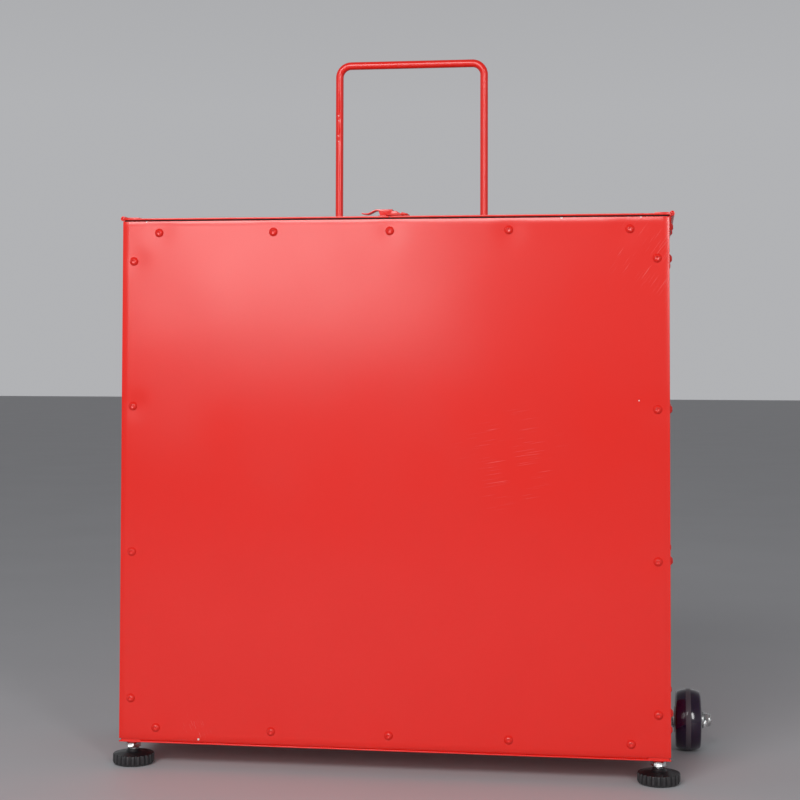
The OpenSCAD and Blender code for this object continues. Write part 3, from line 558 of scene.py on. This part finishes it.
def sheet(name, node, direction, spots, hollow=1.0):
    """A sheet that fills the node's box, with its outer face in direction and a dimple at each spot."""
    low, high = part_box(node)
    aim = Vector(direction)
    up = Vector((0, 1, 0)) if abs(aim.z) > 0.5 else Vector((0, 0, 1))
    across = up.cross(aim)
    axes = Matrix((across, up, aim)).transposed().to_4x4()
    size, centre = high - low, (low + high) / 2
    width, height, thick = (abs(size.dot(a)) for a in (across, up, aim))
    place = Matrix.Translation(centre + aim * thick / 2) @ axes
    bpy.ops.object.select_all(action="DESELECT")
    bpy.ops.mesh.primitive_grid_add(x_subdivisions=ceil(width / MESH_STEP),
                                    y_subdivisions=ceil(height / MESH_STEP), size=1)
    piece = added(name)
    bpy.ops.object.mode_set(mode="EDIT")
    bpy.ops.transform.resize(value=(width, height, 1))
    for spot in spots:
        here = place.inverted() @ spot
        here.z = 0
        mesh = bmesh.from_edit_mesh(piece.data)
        inner = [v for v in mesh.verts
                 if abs(v.co.x) < width / 2 - MM and abs(v.co.y) < height / 2 - MM]
        nearest = min(inner, key=lambda v: (v.co - here).length)
        choose(piece, "verts", lambda v: v.co == nearest.co)
        bpy.ops.transform.translate(value=(0, 0, -DIMPLE * hollow), use_proportional_edit=True,
                                    proportional_edit_falloff="SMOOTH",
                                    proportional_size=DIMPLE_REACH)
    end()
    apply(piece, "SOLIDIFY", thickness=thick, offset=-1.0)
    piece.data.transform(place)
    soften(piece, 0.35 * MM, 2, 50)
    return piece


def centres(*nodes):
    return [middle(box) for node in nodes for box in solids(node)]


for name, direction, spots in (
        ("front_panel", (0, -1, 0), centres("front_screws")),
        ("rear_panel", (0, 1, 0), centres("rear_screws", "bracket_screws")),
        ("left_side_panel", (-1, 0, 0), [p for p in centres("side_screws") if p.x < 0]),
        ("right_side_panel", (1, 0, 0), [p for p in centres("side_screws") if p.x > 0]),
        ("bottom_panel", (0, 0, -1), centres("bottom_screws"))):
    paint = front_enamel if name == "front_panel" else enamel
    stand_in(sheet(name + "_sheet", name, direction, spots), paint, "red_enamel", name)

for side in ("left", "right"):
    node = side + "_lid_panel"
    spots = centres(side + "_lid_rivets")
    stand_in(sheet(side + "_lid_sheet", node, (0, 0, 1), spots, RIVET_HOLLOW), enamel,
             "red_enamel", node)

# %% [markdown]
# ## Button-head screws
# All the screws are alike: a low dome with a hexagon socket, painted over with
# the case, so the paint has rounded the socket's rim. One is turned on the
# lathe, its socket is cut with a six-sided bar, and it is copied to each place.
# Each copy is turned by its own angle, since nobody lines sockets up.

# %% One screw
DOME = 0.63          # height of the whole dome over its radius
HEAD = 0.56          # height of the dome that the socket leaves, likewise
SHANK = 0.57         # radius of the shank, likewise
SOCKET = 0.44        # radius of the socket to its corners, likewise
SOCKET_FLOOR = 0.42  # height of the socket's floor over the dome's height
SCREW_TURN = 1.9     # radians from one screw's socket to the next


def button_screw(box, direction):
    """Turns a screw to the size of one packed screw, whose head points in direction."""
    aim = Vector(direction)
    axis = max(range(3), key=lambda i: abs(aim[i]))
    size = box[1] - box[0]
    head_r = max(size[i] for i in range(3) if i != axis) / 2
    head_h, shank_r = head_r * DOME, head_r * SHANK
    tail = size[axis] - head_r * HEAD
    dome_r = (head_r ** 2 + head_h ** 2) / (2 * head_h)
    rim = head_r - 0.1 * MM
    foot = atan2(sqrt(dome_r ** 2 - rim ** 2), rim)
    dome = arc(0, head_h - dome_r, dome_r, foot * 180 / pi, 90, 8)
    dome[-1] = (0, head_h)
    screw = lathe("screw", [(0, -tail), (shank_r - 0.5 * MM, -tail), (shank_r, -tail + 0.5 * MM),
                            (shank_r, 0), (head_r - 0.3 * MM, 0)] + dome, steps=40)
    socket = rod("socket", head_r * SOCKET, head_h,
                 Matrix.Translation((0, 0, head_h * SOCKET_FLOOR)), 6)
    cut(screw, socket)
    soften(screw, 0.22 * MM, 2, 35)
    return screw, max(v.co.z for v in screw.data.vertices)


def screw_set(name, node, direction_of):
    boxes = solids(node)
    master, top = button_screw(boxes[0], direction_of(middle(boxes[0])))
    places = []
    for i, box in enumerate(boxes):
        aim = Vector(direction_of(middle(box)))
        tip = middle(box) + aim * abs((box[1] - box[0]).dot(aim)) / 2
        places.append(facing(tip - aim * top, aim, i * SCREW_TURN))
    piece = copies(master, name, places)
    bpy.data.objects.remove(master)
    return stand_in(piece, enamel, "red_enamel", node)


def sideways(place):
    return (1 if place.x > 0 else -1, 0, 0)


screw_set("front_button_screws", "front_screws", lambda place: (0, -1, 0))
screw_set("rear_button_screws", "rear_screws", lambda place: (0, 1, 0))
screw_set("side_button_screws", "side_screws", sideways)
screw_set("bottom_button_screws", "bottom_screws", lambda place: (0, 0, -1))
screw_set("hinge_button_screws", "hinge_screws", sideways)
screw_set("bracket_button_screws", "bracket_screws", lambda place: (0, 1, 0))

# %% [markdown]
# ## Pieces that only need softer edges
# Hinge leaves, the latch's base, lever and catch, brackets, lugs, plugs and the
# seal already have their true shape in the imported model. What they lack is the
# rounding that paint or a mould gives an edge. A
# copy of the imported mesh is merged, its flat faces are dissolved into single
# faces, and a bevel then rounds the edges that are left.

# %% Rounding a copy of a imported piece
def recast(name, node, width=0.35 * MM, angle=32):
    piece = bpy.data.objects.new(name, frame["nodes"][node].data.copy())
    bpy.context.scene.collection.objects.link(piece)
    only(piece)
    bpy.ops.mesh.customdata_custom_splitnormals_clear()
    bpy.ops.object.mode_set(mode="EDIT")
    bpy.ops.mesh.select_all(action="SELECT")
    bpy.ops.mesh.remove_doubles(threshold=1e-6)
    bpy.ops.mesh.dissolve_limited(angle_limit=radians(1))
    end()
    soften(piece, width, 2, angle)
    return piece


for material, slot, widths in (
        (enamel, "red_enamel", {"fixed_leaves": 0.4, "left_lid_leaf": 0.4, "right_lid_leaf": 0.4,
                                "latch_base": 0.3, "latch_lever": 0.3, "latch_catch": 0.35,
                                "guide_brackets": 0.5, "axle_lugs": 0.6}),
        (polyamide, "black_plastic", {"axle_tube_plugs": 0.5, "post_plugs": 0.5}),
        # The lid seal takes the rubber whose maroon tone is painted gap shade.
        (rubber, "seal_rubber", {"lid_seal": 0.6})):
    for node, width in widths.items():
        stand_in(recast(node + "_rounded", node, width * MM), material, slot, node)

# %% [markdown]
# ## Blind rivets and hinge pins
# A blind rivet has a low dome with a small dimple in the middle, where its
# mandrel snapped off. A hinge pin is a plain rod whose ends have been peened to
# a dome. Both are turned.

# %% Rivets and pins
RIVET_SHANK = 0.245      # radius of a rivet's shank over its head's width
RIVET_HEAD = 0.215       # height of its head, likewise


def rivet_set(name, node):
    boxes = solids(node)
    size = boxes[0][1] - boxes[0][0]
    head_r, shank_r, head_h = size.x / 2, size.x * RIVET_SHANK, size.x * RIVET_HEAD
    profile = [(0, head_h - size.z), (shank_r, head_h - size.z), (shank_r, 0), (head_r, 0),
               (head_r - 0.15 * MM, 0.4 * head_h), (head_r * 0.78, 0.75 * head_h),
               (head_r * 0.5, 0.95 * head_h), (head_r * 0.33, head_h),
               (head_r * 0.25, 0.8 * head_h), (0, 0.72 * head_h)]
    master = lathe("rivet", profile, steps=32)
    smooth(master, 50)
    places = [Matrix.Translation((middle(b).x, middle(b).y, b[1].z - head_h)) for b in boxes]
    piece = copies(master, name, places)
    bpy.data.objects.remove(master)
    return stand_in(piece, enamel, "red_enamel", node)


rivet_set("left_blind_rivets", "left_lid_rivets")
rivet_set("right_blind_rivets", "right_lid_rivets")

pins = solids("hinge_pins")
pin_r = (pins[0][1].x - pins[0][0].x) / 2
pin_l = pins[0][1].y - pins[0][0].y
peened = [(0, 0), (pin_r * 0.6, 0.1 * MM), (pin_r * 0.95, 0.5 * MM), (pin_r, 1 * MM)]
pin = lathe("pin", peened + [(radius, pin_l - z) for radius, z in reversed(peened)], steps=24)
smooth(pin, 50)
stand_in(copies(pin, "hinge_pin_rods", [facing((middle(b).x, b[0].y, middle(b).z), (0, 1, 0))
                                        for b in pins]), enamel, "red_enamel", "hinge_pins")
bpy.data.objects.remove(pin)

# %% [markdown]
# ## The draw latch's bail
# The bail is a wire loop that joins the lever to the catch. A round section is
# pushed along its four sides and round its four corners until it meets itself.

# %% Bail
low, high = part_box("latch_bail")
wire_r = (high.z - low.z) / 2
corner = 3 * MM
inner_low, inner_high = low + Vector((wire_r,) * 3), high - Vector((wire_r,) * 3)
z = (low.z + high.z) / 2
run_x = inner_high.x - inner_low.x - 2 * corner
run_y = inner_high.y - inner_low.y - 2 * corner
near_x, far_x = inner_low.x + corner, inner_high.x - corner
near_y, far_y = inner_low.y + corner, inner_high.y - corner
bail = bend_bar("latch_bail_wire", wire_r, (near_x, inner_low.y, z), (1, 0, 0), [
    run_x, ((far_x, near_y, z), (0, 0, 1), 90), run_y, ((far_x, far_y, z), (0, 0, 1), 90),
    run_x, ((near_x, far_y, z), (0, 0, 1), 90), run_y, ((near_x, near_y, z), (0, 0, 1), 90)],
    sides=16)
stand_in(bail, enamel, "red_enamel", "latch_bail")

# %% [markdown]
# ## The pull handle
# One round bar, bent twice. Knocks have left two pairs of slanting nicks on its
# left leg, below the bend, where the paint has flaked to the steel. Each nick is
# cut with a thin slanted rod, so it catches the light as a real one does.

# %% Bar and nicks
low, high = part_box("handle_bar")
bar_r = (high.y - low.y) / 2
bar_y = (low.y + high.y) / 2
BEND = 15 * MM           # radius of the two bends
NICK_R = 0.9 * MM
NICK_DROPS = (65, 71, 91, 98)    # millimetres below the bar's centre line
NICK_CHIP = 1.1 * MM     # paint lost round a nick
leg = high.x - bar_r
bar_top = high.z - bar_r
rise = bar_top - BEND - low.z
bar = bend_bar("handle_bar_bent", bar_r, (-leg, bar_y, low.z), (0, 0, 1), [
    rise * 0.5, rise * 0.5, ((-leg + BEND, bar_y, bar_top - BEND), (0, 1, 0), 90),
    2 * (leg - BEND), ((leg - BEND, bar_y, bar_top - BEND), (0, 1, 0), 90), rise], sides=40)
nicks = []
for drop in NICK_DROPS:
    spot = Vector((-leg - bar_r * 0.15, bar_y - bar_r * 0.98 - NICK_R * 0.2, bar_top - drop * MM))
    tool = rod("nick", NICK_R, 12 * MM, Matrix.Translation((0, 0, -6 * MM)), 12)
    tool.data.transform(facing(spot, (0.6, -0.1, 0.8)))
    nicks.append(spot)
    cut(bar, tool)
soften(bar, 0.15 * MM, 1, 40)
nicked = make_enamel("gloss_enamel_on_bar", 0.2, [(spot, NICK_CHIP) for spot in nicks])
stand_in(bar, nicked, "red_enamel", "handle_bar")

# %% Guide tubes and bushes
GUIDE_WALL = 1.5 * MM
CHAMFER = 0.3 * MM
FLANGE = 1.6 * MM        # how far a bush's flange stands out from its sleeve
FLANGE_T = 2 * MM

for side in ("left", "right"):
    low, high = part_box(side + "_guide_tube")
    r, length = (high.x - low.x) / 2, high.z - low.z
    bore = r - GUIDE_WALL
    tube = lathe(side + "_guide_tube_cut", [
        (bore, CHAMFER), (bore + CHAMFER, 0), (r - CHAMFER, 0), (r, CHAMFER),
        (r, length - CHAMFER), (r - CHAMFER, length), (bore + CHAMFER, length),
        (bore, length - CHAMFER)], ring=True)
    tube.data.transform(Matrix.Translation(((low.x + high.x) / 2, (low.y + high.y) / 2, low.z)))
    smooth(tube, 40)
    stand_in(tube, enamel, "red_enamel", side + "_guide_tube")

bush_boxes = solids("guide_bushes")
size = bush_boxes[0][1] - bush_boxes[0][0]
r, bore, length = size.x / 2, bar_r + 0.05 * MM, size.z
bush = lathe("bush", [(bore, 0), (r - FLANGE, 0), (r - FLANGE, length - FLANGE_T),
                      (r, length - FLANGE_T), (r, length - 0.6 * MM), (r - 0.6 * MM, length),
                      (bore + 0.8 * MM, length), (bore, length - 0.8 * MM)], ring=True)
smooth(bush, 40)
stand_in(copies(bush, "guide_bush_sleeves",
                [Matrix.Translation((middle(b).x, middle(b).y, b[0].z)) for b in bush_boxes]),
         polyamide, "black_plastic", "guide_bushes")
bpy.data.objects.remove(bush)

# %% [markdown]
# ## Nuts, washers, studs and the axle
# A hexagon nut is a six-sided bar whose corners were turned off by a cone, which
# leaves the curved line on each flat. The outer nuts are lock nuts: their collar
# holds a nylon ring that grips the thread. Threads are drawn as rings one pitch
# apart, which look the same as a helix once they are this fine.

# %% Threads and nuts
PITCH = 1.5 * MM
THREAD = 0.75 * MM       # depth of the thread
NUT_FACE = 0.475         # radius of a nut's flat face over its width across flats
TURNED = 0.58            # slope of the cone that takes the corners off, 30 degrees
NUT_TURN = 0.4           # radians from level, the way the axle's nuts came to rest


def thread(radius, start, stop):
    """Profile points of a thread along a rod, from one height to another."""
    points = []
    for i in range(int((stop - start) / PITCH)):
        z = start + i * PITCH
        points += [(radius - THREAD, z + 0.1 * PITCH), (radius, z + 0.45 * PITCH),
                   (radius, z + 0.65 * PITCH), (radius - THREAD, z + PITCH)]
    return points


def hex_nut(name, flats, length, bore, collar=0.0):
    corner, edge = flats / 2 / cos(radians(30)), flats * NUT_FACE
    bevel = (corner - edge) * TURNED
    body = length - collar
    nut = rod(name, corner, body, sides=6)
    cone = lathe("cone", [(0, 0), (edge, 0), (corner, bevel), (corner, body - bevel),
                          (edge, body), (0, body)], steps=72)
    cut(nut, cone, "INTERSECT")
    if collar:
        cap = lathe("cap", [(0, body - 0.5 * MM), (edge * 0.97, body - 0.5 * MM),
                            (edge * 0.97, length - 1.2 * MM), (edge * 0.85, length - 0.3 * MM),
                            (edge * 0.78, length), (0, length)], steps=72)
        cut(nut, cap, "UNION")
        cut(nut, rod("pocket", bore + 1.6 * MM, 2.4 * MM,
                     Matrix.Translation((0, 0, length - 1.6 * MM)), 48))
    cut(nut, rod("bore", bore, 2 * length, Matrix.Translation((0, 0, -length / 2)), 48))
    soften(nut, 0.2 * MM, 2, 25)
    nut.data.materials.append(zinc)
    if collar:
        low_z, high_z = length - 1.5 * MM, length - 0.4 * MM
        lock = lathe("ring", [(bore, low_z), (bore + 1.5 * MM, low_z),
                              (bore + 1.5 * MM, high_z), (bore, high_z)], ring=True)
        lock.data.materials.append(nylon)
        nut = join(name, nut, lock)
    return nut


def along_x(box):
    """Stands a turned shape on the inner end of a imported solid, pointing away from the case."""
    out = 1 if middle(box).x > 0 else -1
    inner = box[0].x if out > 0 else box[1].x
    return facing((inner, middle(box).y, middle(box).z), (out, 0, 0), NUT_TURN)


# %% Nuts and washers of the axle
axle_r = (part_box("axle_rod")[1].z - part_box("axle_rod")[0].z) / 2
nut_boxes = sorted(solids("axle_nuts"), key=lambda b: abs(middle(b).x))
flats = nut_boxes[0][1].y - nut_boxes[0][0].y
groups = []
for name, boxes, collar in (("inner", nut_boxes[:2], 0.0), ("outer", nut_boxes[2:], 3 * MM)):
    master = hex_nut(name, flats, boxes[0][1].x - boxes[0][0].x, axle_r, collar)
    groups.append(copies(master, name, [along_x(b) for b in boxes]))
    bpy.data.objects.remove(master)
stand_in(join("axle_hex_nuts", *groups), None, "zinc_steel", "axle_nuts")

washer_boxes = solids("axle_washers")
size = washer_boxes[0][1] - washer_boxes[0][0]
r, t, edge = size.z / 2, size.x, 0.25 * MM
washer = lathe("washer", [(axle_r, 0), (r - edge, 0), (r, edge), (r, t - edge), (r - edge, t),
                          (axle_r + edge, t), (axle_r, t - edge)], ring=True, steps=64)
smooth(washer, 40)
stand_in(copies(washer, "axle_plain_washers", [along_x(b) for b in washer_boxes]),
         zinc, "zinc_steel", "axle_washers")
bpy.data.objects.remove(washer)

# %% Axle, jam nuts and studs
low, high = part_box("axle_rod")
length = high.x - low.x
threaded = 54 * MM       # at each end
tip = 0.6 * MM
rod_profile = [(0, 0), (axle_r - 2 * tip, 0), (axle_r - THREAD, tip)]
rod_profile += thread(axle_r, tip, threaded)
rod_profile += [(axle_r, threaded), (axle_r, length - threaded)]
rod_profile += [(radius, length - z) for radius, z in reversed(thread(axle_r, tip, threaded))]
rod_profile += [(axle_r - THREAD, length - tip), (axle_r - 2 * tip, length), (0, length)]
axle = lathe("axle_threaded_rod", rod_profile, steps=32)
axle.data.transform(facing((low.x, (low.y + high.y) / 2, (low.z + high.z) / 2), (1, 0, 0)))
smooth(axle, 40)
stand_in(axle, zinc, "zinc_steel", "axle_rod")

jam_boxes = solids("foot_lock_nuts")
jam = hex_nut("jam", flats, jam_boxes[0][1].z - jam_boxes[0][0].z, axle_r)
stand_in(copies(jam, "foot_jam_nuts", [
    Matrix.Translation((middle(b).x, middle(b).y, b[0].z)) @ Matrix.Rotation(0.5 + i, 4, "Z")
    for i, b in enumerate(jam_boxes)]), None, "zinc_steel", "foot_lock_nuts")
bpy.data.objects.remove(jam)

for side in ("left", "right"):
    low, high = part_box(side + "_foot_stud")
    r, length = (high.x - low.x) / 2, high.z - low.z
    stud = lathe(side + "_threaded_stud", [(0, 0), (r - THREAD, 0)] + thread(r, 0, length - 1 * MM)
                 + [(r - THREAD, length - 0.5 * MM), (r - 2 * MM, length), (0, length)], steps=32)
    stud.data.transform(Matrix.Translation((*((low + high) / 2).xy, low.z)))
    smooth(stud, 40)
    stand_in(stud, zinc, "zinc_steel", side + "_foot_stud")

# %% [markdown]
# ## Levelling feet
# The pad is moulded with a ring of flutes, so that fingers can turn it. It is
# turned first, and one cutter made of all the flute bars cuts them at once. The
# boss above it is welded into the post, and the weld shows as a rippled ring.

# %% Pads and bosses
FLUTES = 24
FLUTE_R = 2.2 * MM
FLUTE_OUT = 0.8 * MM     # how far outside the rim a flute's middle lies
WEAR = 3 * MM            # patches of grey scuffing
RIM_Z = 12.6 * MM        # height of the fluted rim
WELD_R = 9.3 * MM        # radius of the weld round a boss
BEAD = 1.1 * MM          # radius of its bead
RIPPLE = 0.22            # share by which the bead swells
RIPPLES = 22             # swellings round the boss


def make_worn_pad(name, box):
    """Black polyamide whose rim is scuffed grey where it meets hands and the floor."""
    material = make_plastic(name, ("#0F0E10", "#1A191C"), 0.38, 0.9 * MM, 0.12 * MM)
    tree = material.node_tree
    shader = next(n for n in tree.nodes if n.type == "BSDF_PRINCIPLED")
    shade = shader.inputs["Base Color"].links[0].from_socket
    place = add(tree, "TexCoord").outputs["Object"]
    split = add(tree, "SeparateXYZ", {0: place})
    scuff = add(tree, "TexNoise", {"Vector": place, "Scale": 1 / WEAR, "Detail": 5.0})
    centre = middle(box)
    flat = add(tree, "CombineXYZ", {"X": split.outputs["X"], "Y": split.outputs["Y"]})
    out = add(tree, "VectorMath", {0: flat.outputs[0], 1: (centre.x, centre.y, 0)},
              operation="DISTANCE").outputs["Value"]
    rim = add(tree, "MapRange", {"Value": out, "From Min": (box[1].x - centre.x) - 1.4 * MM,
                                 "From Max": box[1].x - centre.x, "To Min": 0.0,
                                 "To Max": 0.2}).outputs[0]
    low_edge = add(tree, "MapRange", {"Value": split.outputs["Z"], "From Min": box[0].z,
                                      "From Max": box[0].z + 2.5 * MM, "To Min": 0.5,
                                      "To Max": 0.0}).outputs[0]
    edges = add(tree, "Math", {0: rim, 1: low_edge}, operation="MAXIMUM").outputs[0]
    worn = add(tree, "Math", {0: edges, 1: scuff.outputs[0]}, operation="MULTIPLY").outputs[0]
    mixed = add(tree, "Mix", {0: worn, 6: shade, 7: tint("#8A888A")}, data_type="RGBA")
    tree.links.new(mixed.outputs[2], shader.inputs["Base Color"])
    return material


for side in ("left", "right"):
    node = side + "_foot_pad"
    low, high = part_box(node)
    r, centre = (high.x - low.x) / 2, (low + high) / 2
    top_z = high.z - low.z
    pad = lathe(node + "_moulded", [
        (0, 0), (r - 3 * MM, 0)] + arc(r - 4 * MM, 4 * MM, 4 * MM, -75, 0, 4)
        + arc(r - 1.4 * MM, RIM_Z - 1.4 * MM, 1.4 * MM, 0, 90, 4)
        + [(r - 5 * MM, RIM_Z + 0.3 * MM), (r - 9 * MM, RIM_Z + 1.6 * MM),
           (9.5 * MM, RIM_Z + 2 * MM), (8 * MM, RIM_Z + 3.6 * MM), (7.5 * MM, top_z - 0.4 * MM),
           (7 * MM, top_z), (5.2 * MM, top_z), (5.2 * MM, 4 * MM), (0, 4 * MM)], steps=96)
    flute = rod("flute", FLUTE_R, 2 * RIM_Z, Matrix.Translation((0, 0, -1 * MM)), 20)
    cutter = copies(flute, "flutes", [
        Matrix.Rotation((i + 0.5) * 2 * pi / FLUTES, 4, "Z")
        @ Matrix.Translation((r + FLUTE_OUT, 0, 0)) for i in range(FLUTES)])
    bpy.data.objects.remove(flute)
    cut(pad, cutter)
    soften(pad, 0.35 * MM, 2, 40)
    pad.data.transform(Matrix.Translation((centre.x, centre.y, low.z)))
    stand_in(pad, make_worn_pad("polyamide_pad_" + side, (low, high)), "black_plastic", node)


# %% Welds
def weld_ring(radius, bead, height):
    """A rippled ring of weld metal round a boss."""
    bpy.ops.object.select_all(action="DESELECT")
    bpy.ops.mesh.primitive_torus_add(major_radius=radius, minor_radius=bead, major_segments=96,
                                     minor_segments=12, location=(0, 0, 0))
    ring = added("weld")
    for vert in ring.data.vertices:
        turn = atan2(vert.co.y, vert.co.x)
        out = Vector((cos(turn), sin(turn), 0)) * radius
        vert.co = out + (vert.co - out) * (1 + RIPPLE * sin(turn * RIPPLES))
    ring.data.transform(Matrix.Translation((0, 0, height)))
    return ring


bosses = recast("foot_bosses_welded", "foot_bosses", 0.5 * MM)
boss_boxes = solids("foot_bosses")
frame_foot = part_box("front_left_post")[0].z
ring = weld_ring(WELD_R, BEAD, frame_foot - 0.7 * MM)
rings = copies(ring, "welds", [Matrix.Translation((middle(b).x, middle(b).y, 0))
                               for b in boss_boxes])
bpy.data.objects.remove(ring)
smooth(rings, 60)
stand_in(join("foot_bosses_welded", bosses, rings), enamel, "red_enamel", "foot_bosses")

# %% [markdown]
# ## Wheels
# The tyre is cast round a grey core and has round shoulders. Core, bearings and
# tyre are all bodies of revolution, so each is turned from a closed profile and
# laid along the axle.

# %% Tyres, cores and bearings
def on_axle(piece, low, high):
    """Lays a turned shape, drawn about its own middle, along the axle."""
    piece.data.transform(facing((low + high) / 2, (1, 0, 0)))
    smooth(piece, 40)
    return piece


SHOULDER = 8 * MM    # rounding at the tyre's two edges
CROWN_R = 32 * MM    # the tread is a flat arc from edge to edge
SLEEVE_R = 7.9 * MM  # radius of the core's bore between its bearings
BORE_R = 7.7 * MM    # radius of a bearing's bore
INNER_RING = 3.6 * MM    # from a bearing's outside in to its inner ring
OUTER_RING = 1.4 * MM    # thickness of its outer ring

for side in ("left", "right"):
    low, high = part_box(side + "_tyre")
    r, half = (high.z - low.z) / 2, (high.x - low.x) / 2
    core_r = (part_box(side + "_hub")[1].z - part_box(side + "_hub")[0].z) / 2
    rounded = arc(r - SHOULDER, -half + SHOULDER, SHOULDER, -80, 0, 8)
    rounded += [(r, x * MM) for x in (-5, -2.5, 0, 2.5, 5)]
    rounded += arc(r - SHOULDER, half - SHOULDER, SHOULDER, 0, 80, 8)
    tread = [(min(radius, r - CROWN_R + sqrt(CROWN_R ** 2 - x ** 2)), x) for radius, x in rounded]
    tyre = lathe(side + "_tyre_cast", [
        (core_r, -half + 0.4 * MM), (core_r + 0.4 * MM, -half), (r - SHOULDER, -half)] + tread
        + [(r - SHOULDER, half), (core_r + 0.4 * MM, half), (core_r, half - 0.4 * MM)],
        ring=True, steps=144)
    stand_in(on_axle(tyre, low, high), make_polyurethane("polyurethane_cast_" + side, side + "_tyre"),
             "purple_polyurethane", side + "_tyre")

    low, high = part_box(side + "_hub")
    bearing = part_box(side + "_bearings")
    race = (bearing[1].z - bearing[0].z) / 2
    boss, deep, face = race + 3 * MM, 5 * MM, (high.x - low.x) / 2
    side_profile = [(race, face - 8 * MM), (race, face - 0.4 * MM), (race + 0.4 * MM, face),
                    (boss - 0.6 * MM, face), (boss, face - 0.6 * MM), (boss + 0.8 * MM, half - deep),
                    (core_r - 5.5 * MM, half - deep), (core_r - 4.5 * MM, half - deep + 1 * MM),
                    (core_r - 4 * MM, half - 0.4 * MM), (core_r - 3.6 * MM, half),
                    (core_r - 0.4 * MM, half), (core_r, half - 0.4 * MM)]
    hub = lathe(side + "_core_moulded", [(SLEEVE_R, -face + 8 * MM)]
                + [(radius, -x) for radius, x in side_profile]
                + side_profile[::-1] + [(SLEEVE_R, face - 8 * MM)], ring=True, steps=96)
    stand_in(on_axle(hub, low, high), core, "grey_core", side + "_hub")

    boxes = solids(side + "_bearings")
    wide = (boxes[0][1].x - boxes[0][0].x) / 2
    rings = []
    edge = 0.3 * MM
    for inner, outer, end_x, material in (
            (BORE_R, race - INNER_RING, wide, zinc), (race - OUTER_RING, race, wide, zinc),
            (race - INNER_RING, race - OUTER_RING, wide - 0.5 * MM, rubber)):
        ring = lathe("race", [(inner + edge, -end_x), (outer - edge, -end_x), (outer, -end_x + edge),
                              (outer, end_x - edge), (outer - edge, end_x), (inner + edge, end_x),
                              (inner, end_x - edge), (inner, -end_x + edge)], ring=True, steps=64)
        smooth(ring, 40)
        ring.data.materials.append(material)
        rings.append(ring)
    master = join("bearing", *rings)
    stand_in(copies(master, side + "_ball_bearings", [facing(middle(b), (1, 0, 0)) for b in boxes]),
             None, "zinc_steel", side + "_bearings")
    bpy.data.objects.remove(master)

# %% [markdown]
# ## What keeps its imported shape
# The square tubes, the rivet nuts, the sliders and the axle's sleeves are plain
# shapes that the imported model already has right. They only take their finish:
# the welded frame is sprayed with the case, the loose steel parts are zinc
# plated, and the sliders are natural nylon.

# %% Finishes for the remaining pieces
def finish_of(node):
    if node in ("rivet_nuts", "axle_sleeves"):
        return zinc
    return nylon if node == "handle_sliders" else enamel


for node, piece in frame["nodes"].items():
    if node not in done:
        piece.data.materials.clear()
        piece.data.materials.append(finish_of(node))
print("kept as packed:", sorted(set(frame["nodes"]) - set(done)))

# %% [markdown]
# ## Floor and light
# A plain pale floor and a soft grey surround. Gloss paint shows its lights, so
# they decide the look: a wide key lamp high in front gives the even red, a
# softbox straight in front leaves one broad pale reflection high on the front,
# and a tall window lamp at the right edges the wheel and the screws. The
# surround is darker overhead, so the handle keeps a dark upper edge.

# %% Floor, surround and lamps
bpy.ops.object.select_all(action="DESELECT")
bpy.ops.mesh.primitive_plane_add(size=40)
floor = added("studio_floor")
matt, tree, shader, place = new_material("pale_matt_floor", Roughness=0.6)
speck = add(tree, "TexNoise", {"Vector": place, "Scale": 1 / (300 * MM), "Detail": 3.0})
pale = add(tree, "Mix", {0: speck.outputs[0], 6: tint("#BDBDC0"), 7: tint("#B5B5B8")},
           data_type="RGBA")
tree.links.new(pale.outputs[2], shader.inputs["Base Color"])
floor.data.materials.append(matt)

world = bpy.data.worlds.new("studio")
world.use_nodes = True
sky = world.node_tree
surround = sky.nodes["Background"]
surround.inputs["Color"].default_value = tint("#DCDDE0")
height = add(sky, "SeparateXYZ", {0: add(sky, "TexCoord").outputs["Generated"]})
fall = add(sky, "MapRange", {"Value": height.outputs["Z"], "From Min": 0.15, "From Max": 0.8,
                             "To Min": 0.62, "To Max": 0.25})
sky.links.new(fall.outputs[0], surround.inputs["Strength"])
bpy.context.scene.world = world


def lamp(name, place, target, width, height, power):
    """A soft rectangular lamp, in metres and watts, that the camera itself doesn't see."""
    light = bpy.data.lights.new(name, "AREA")
    light.shape, light.size, light.size_y, light.energy = "RECTANGLE", width, height, power
    holder = bpy.data.objects.new(name, light)
    holder.location = place
    holder.rotation_euler = (Vector(place) - Vector(target)).to_track_quat("Z", "Y").to_euler()
    holder.visible_camera = False
    bpy.context.scene.collection.objects.link(holder)


lamp("softbox", (-0.715, -2.6, 0.9), (-0.715, 0, 0.9), 0.89, 0.66, 9)
lamp("key", (-0.6, -2.7, 1.95), (-0.1, 0, 0.4), 1.8, 0.8, 43)
lamp("window", (1.35, -2.5, 1.25), (0.3, 0, 0.2), 0.4, 1.1, 16)
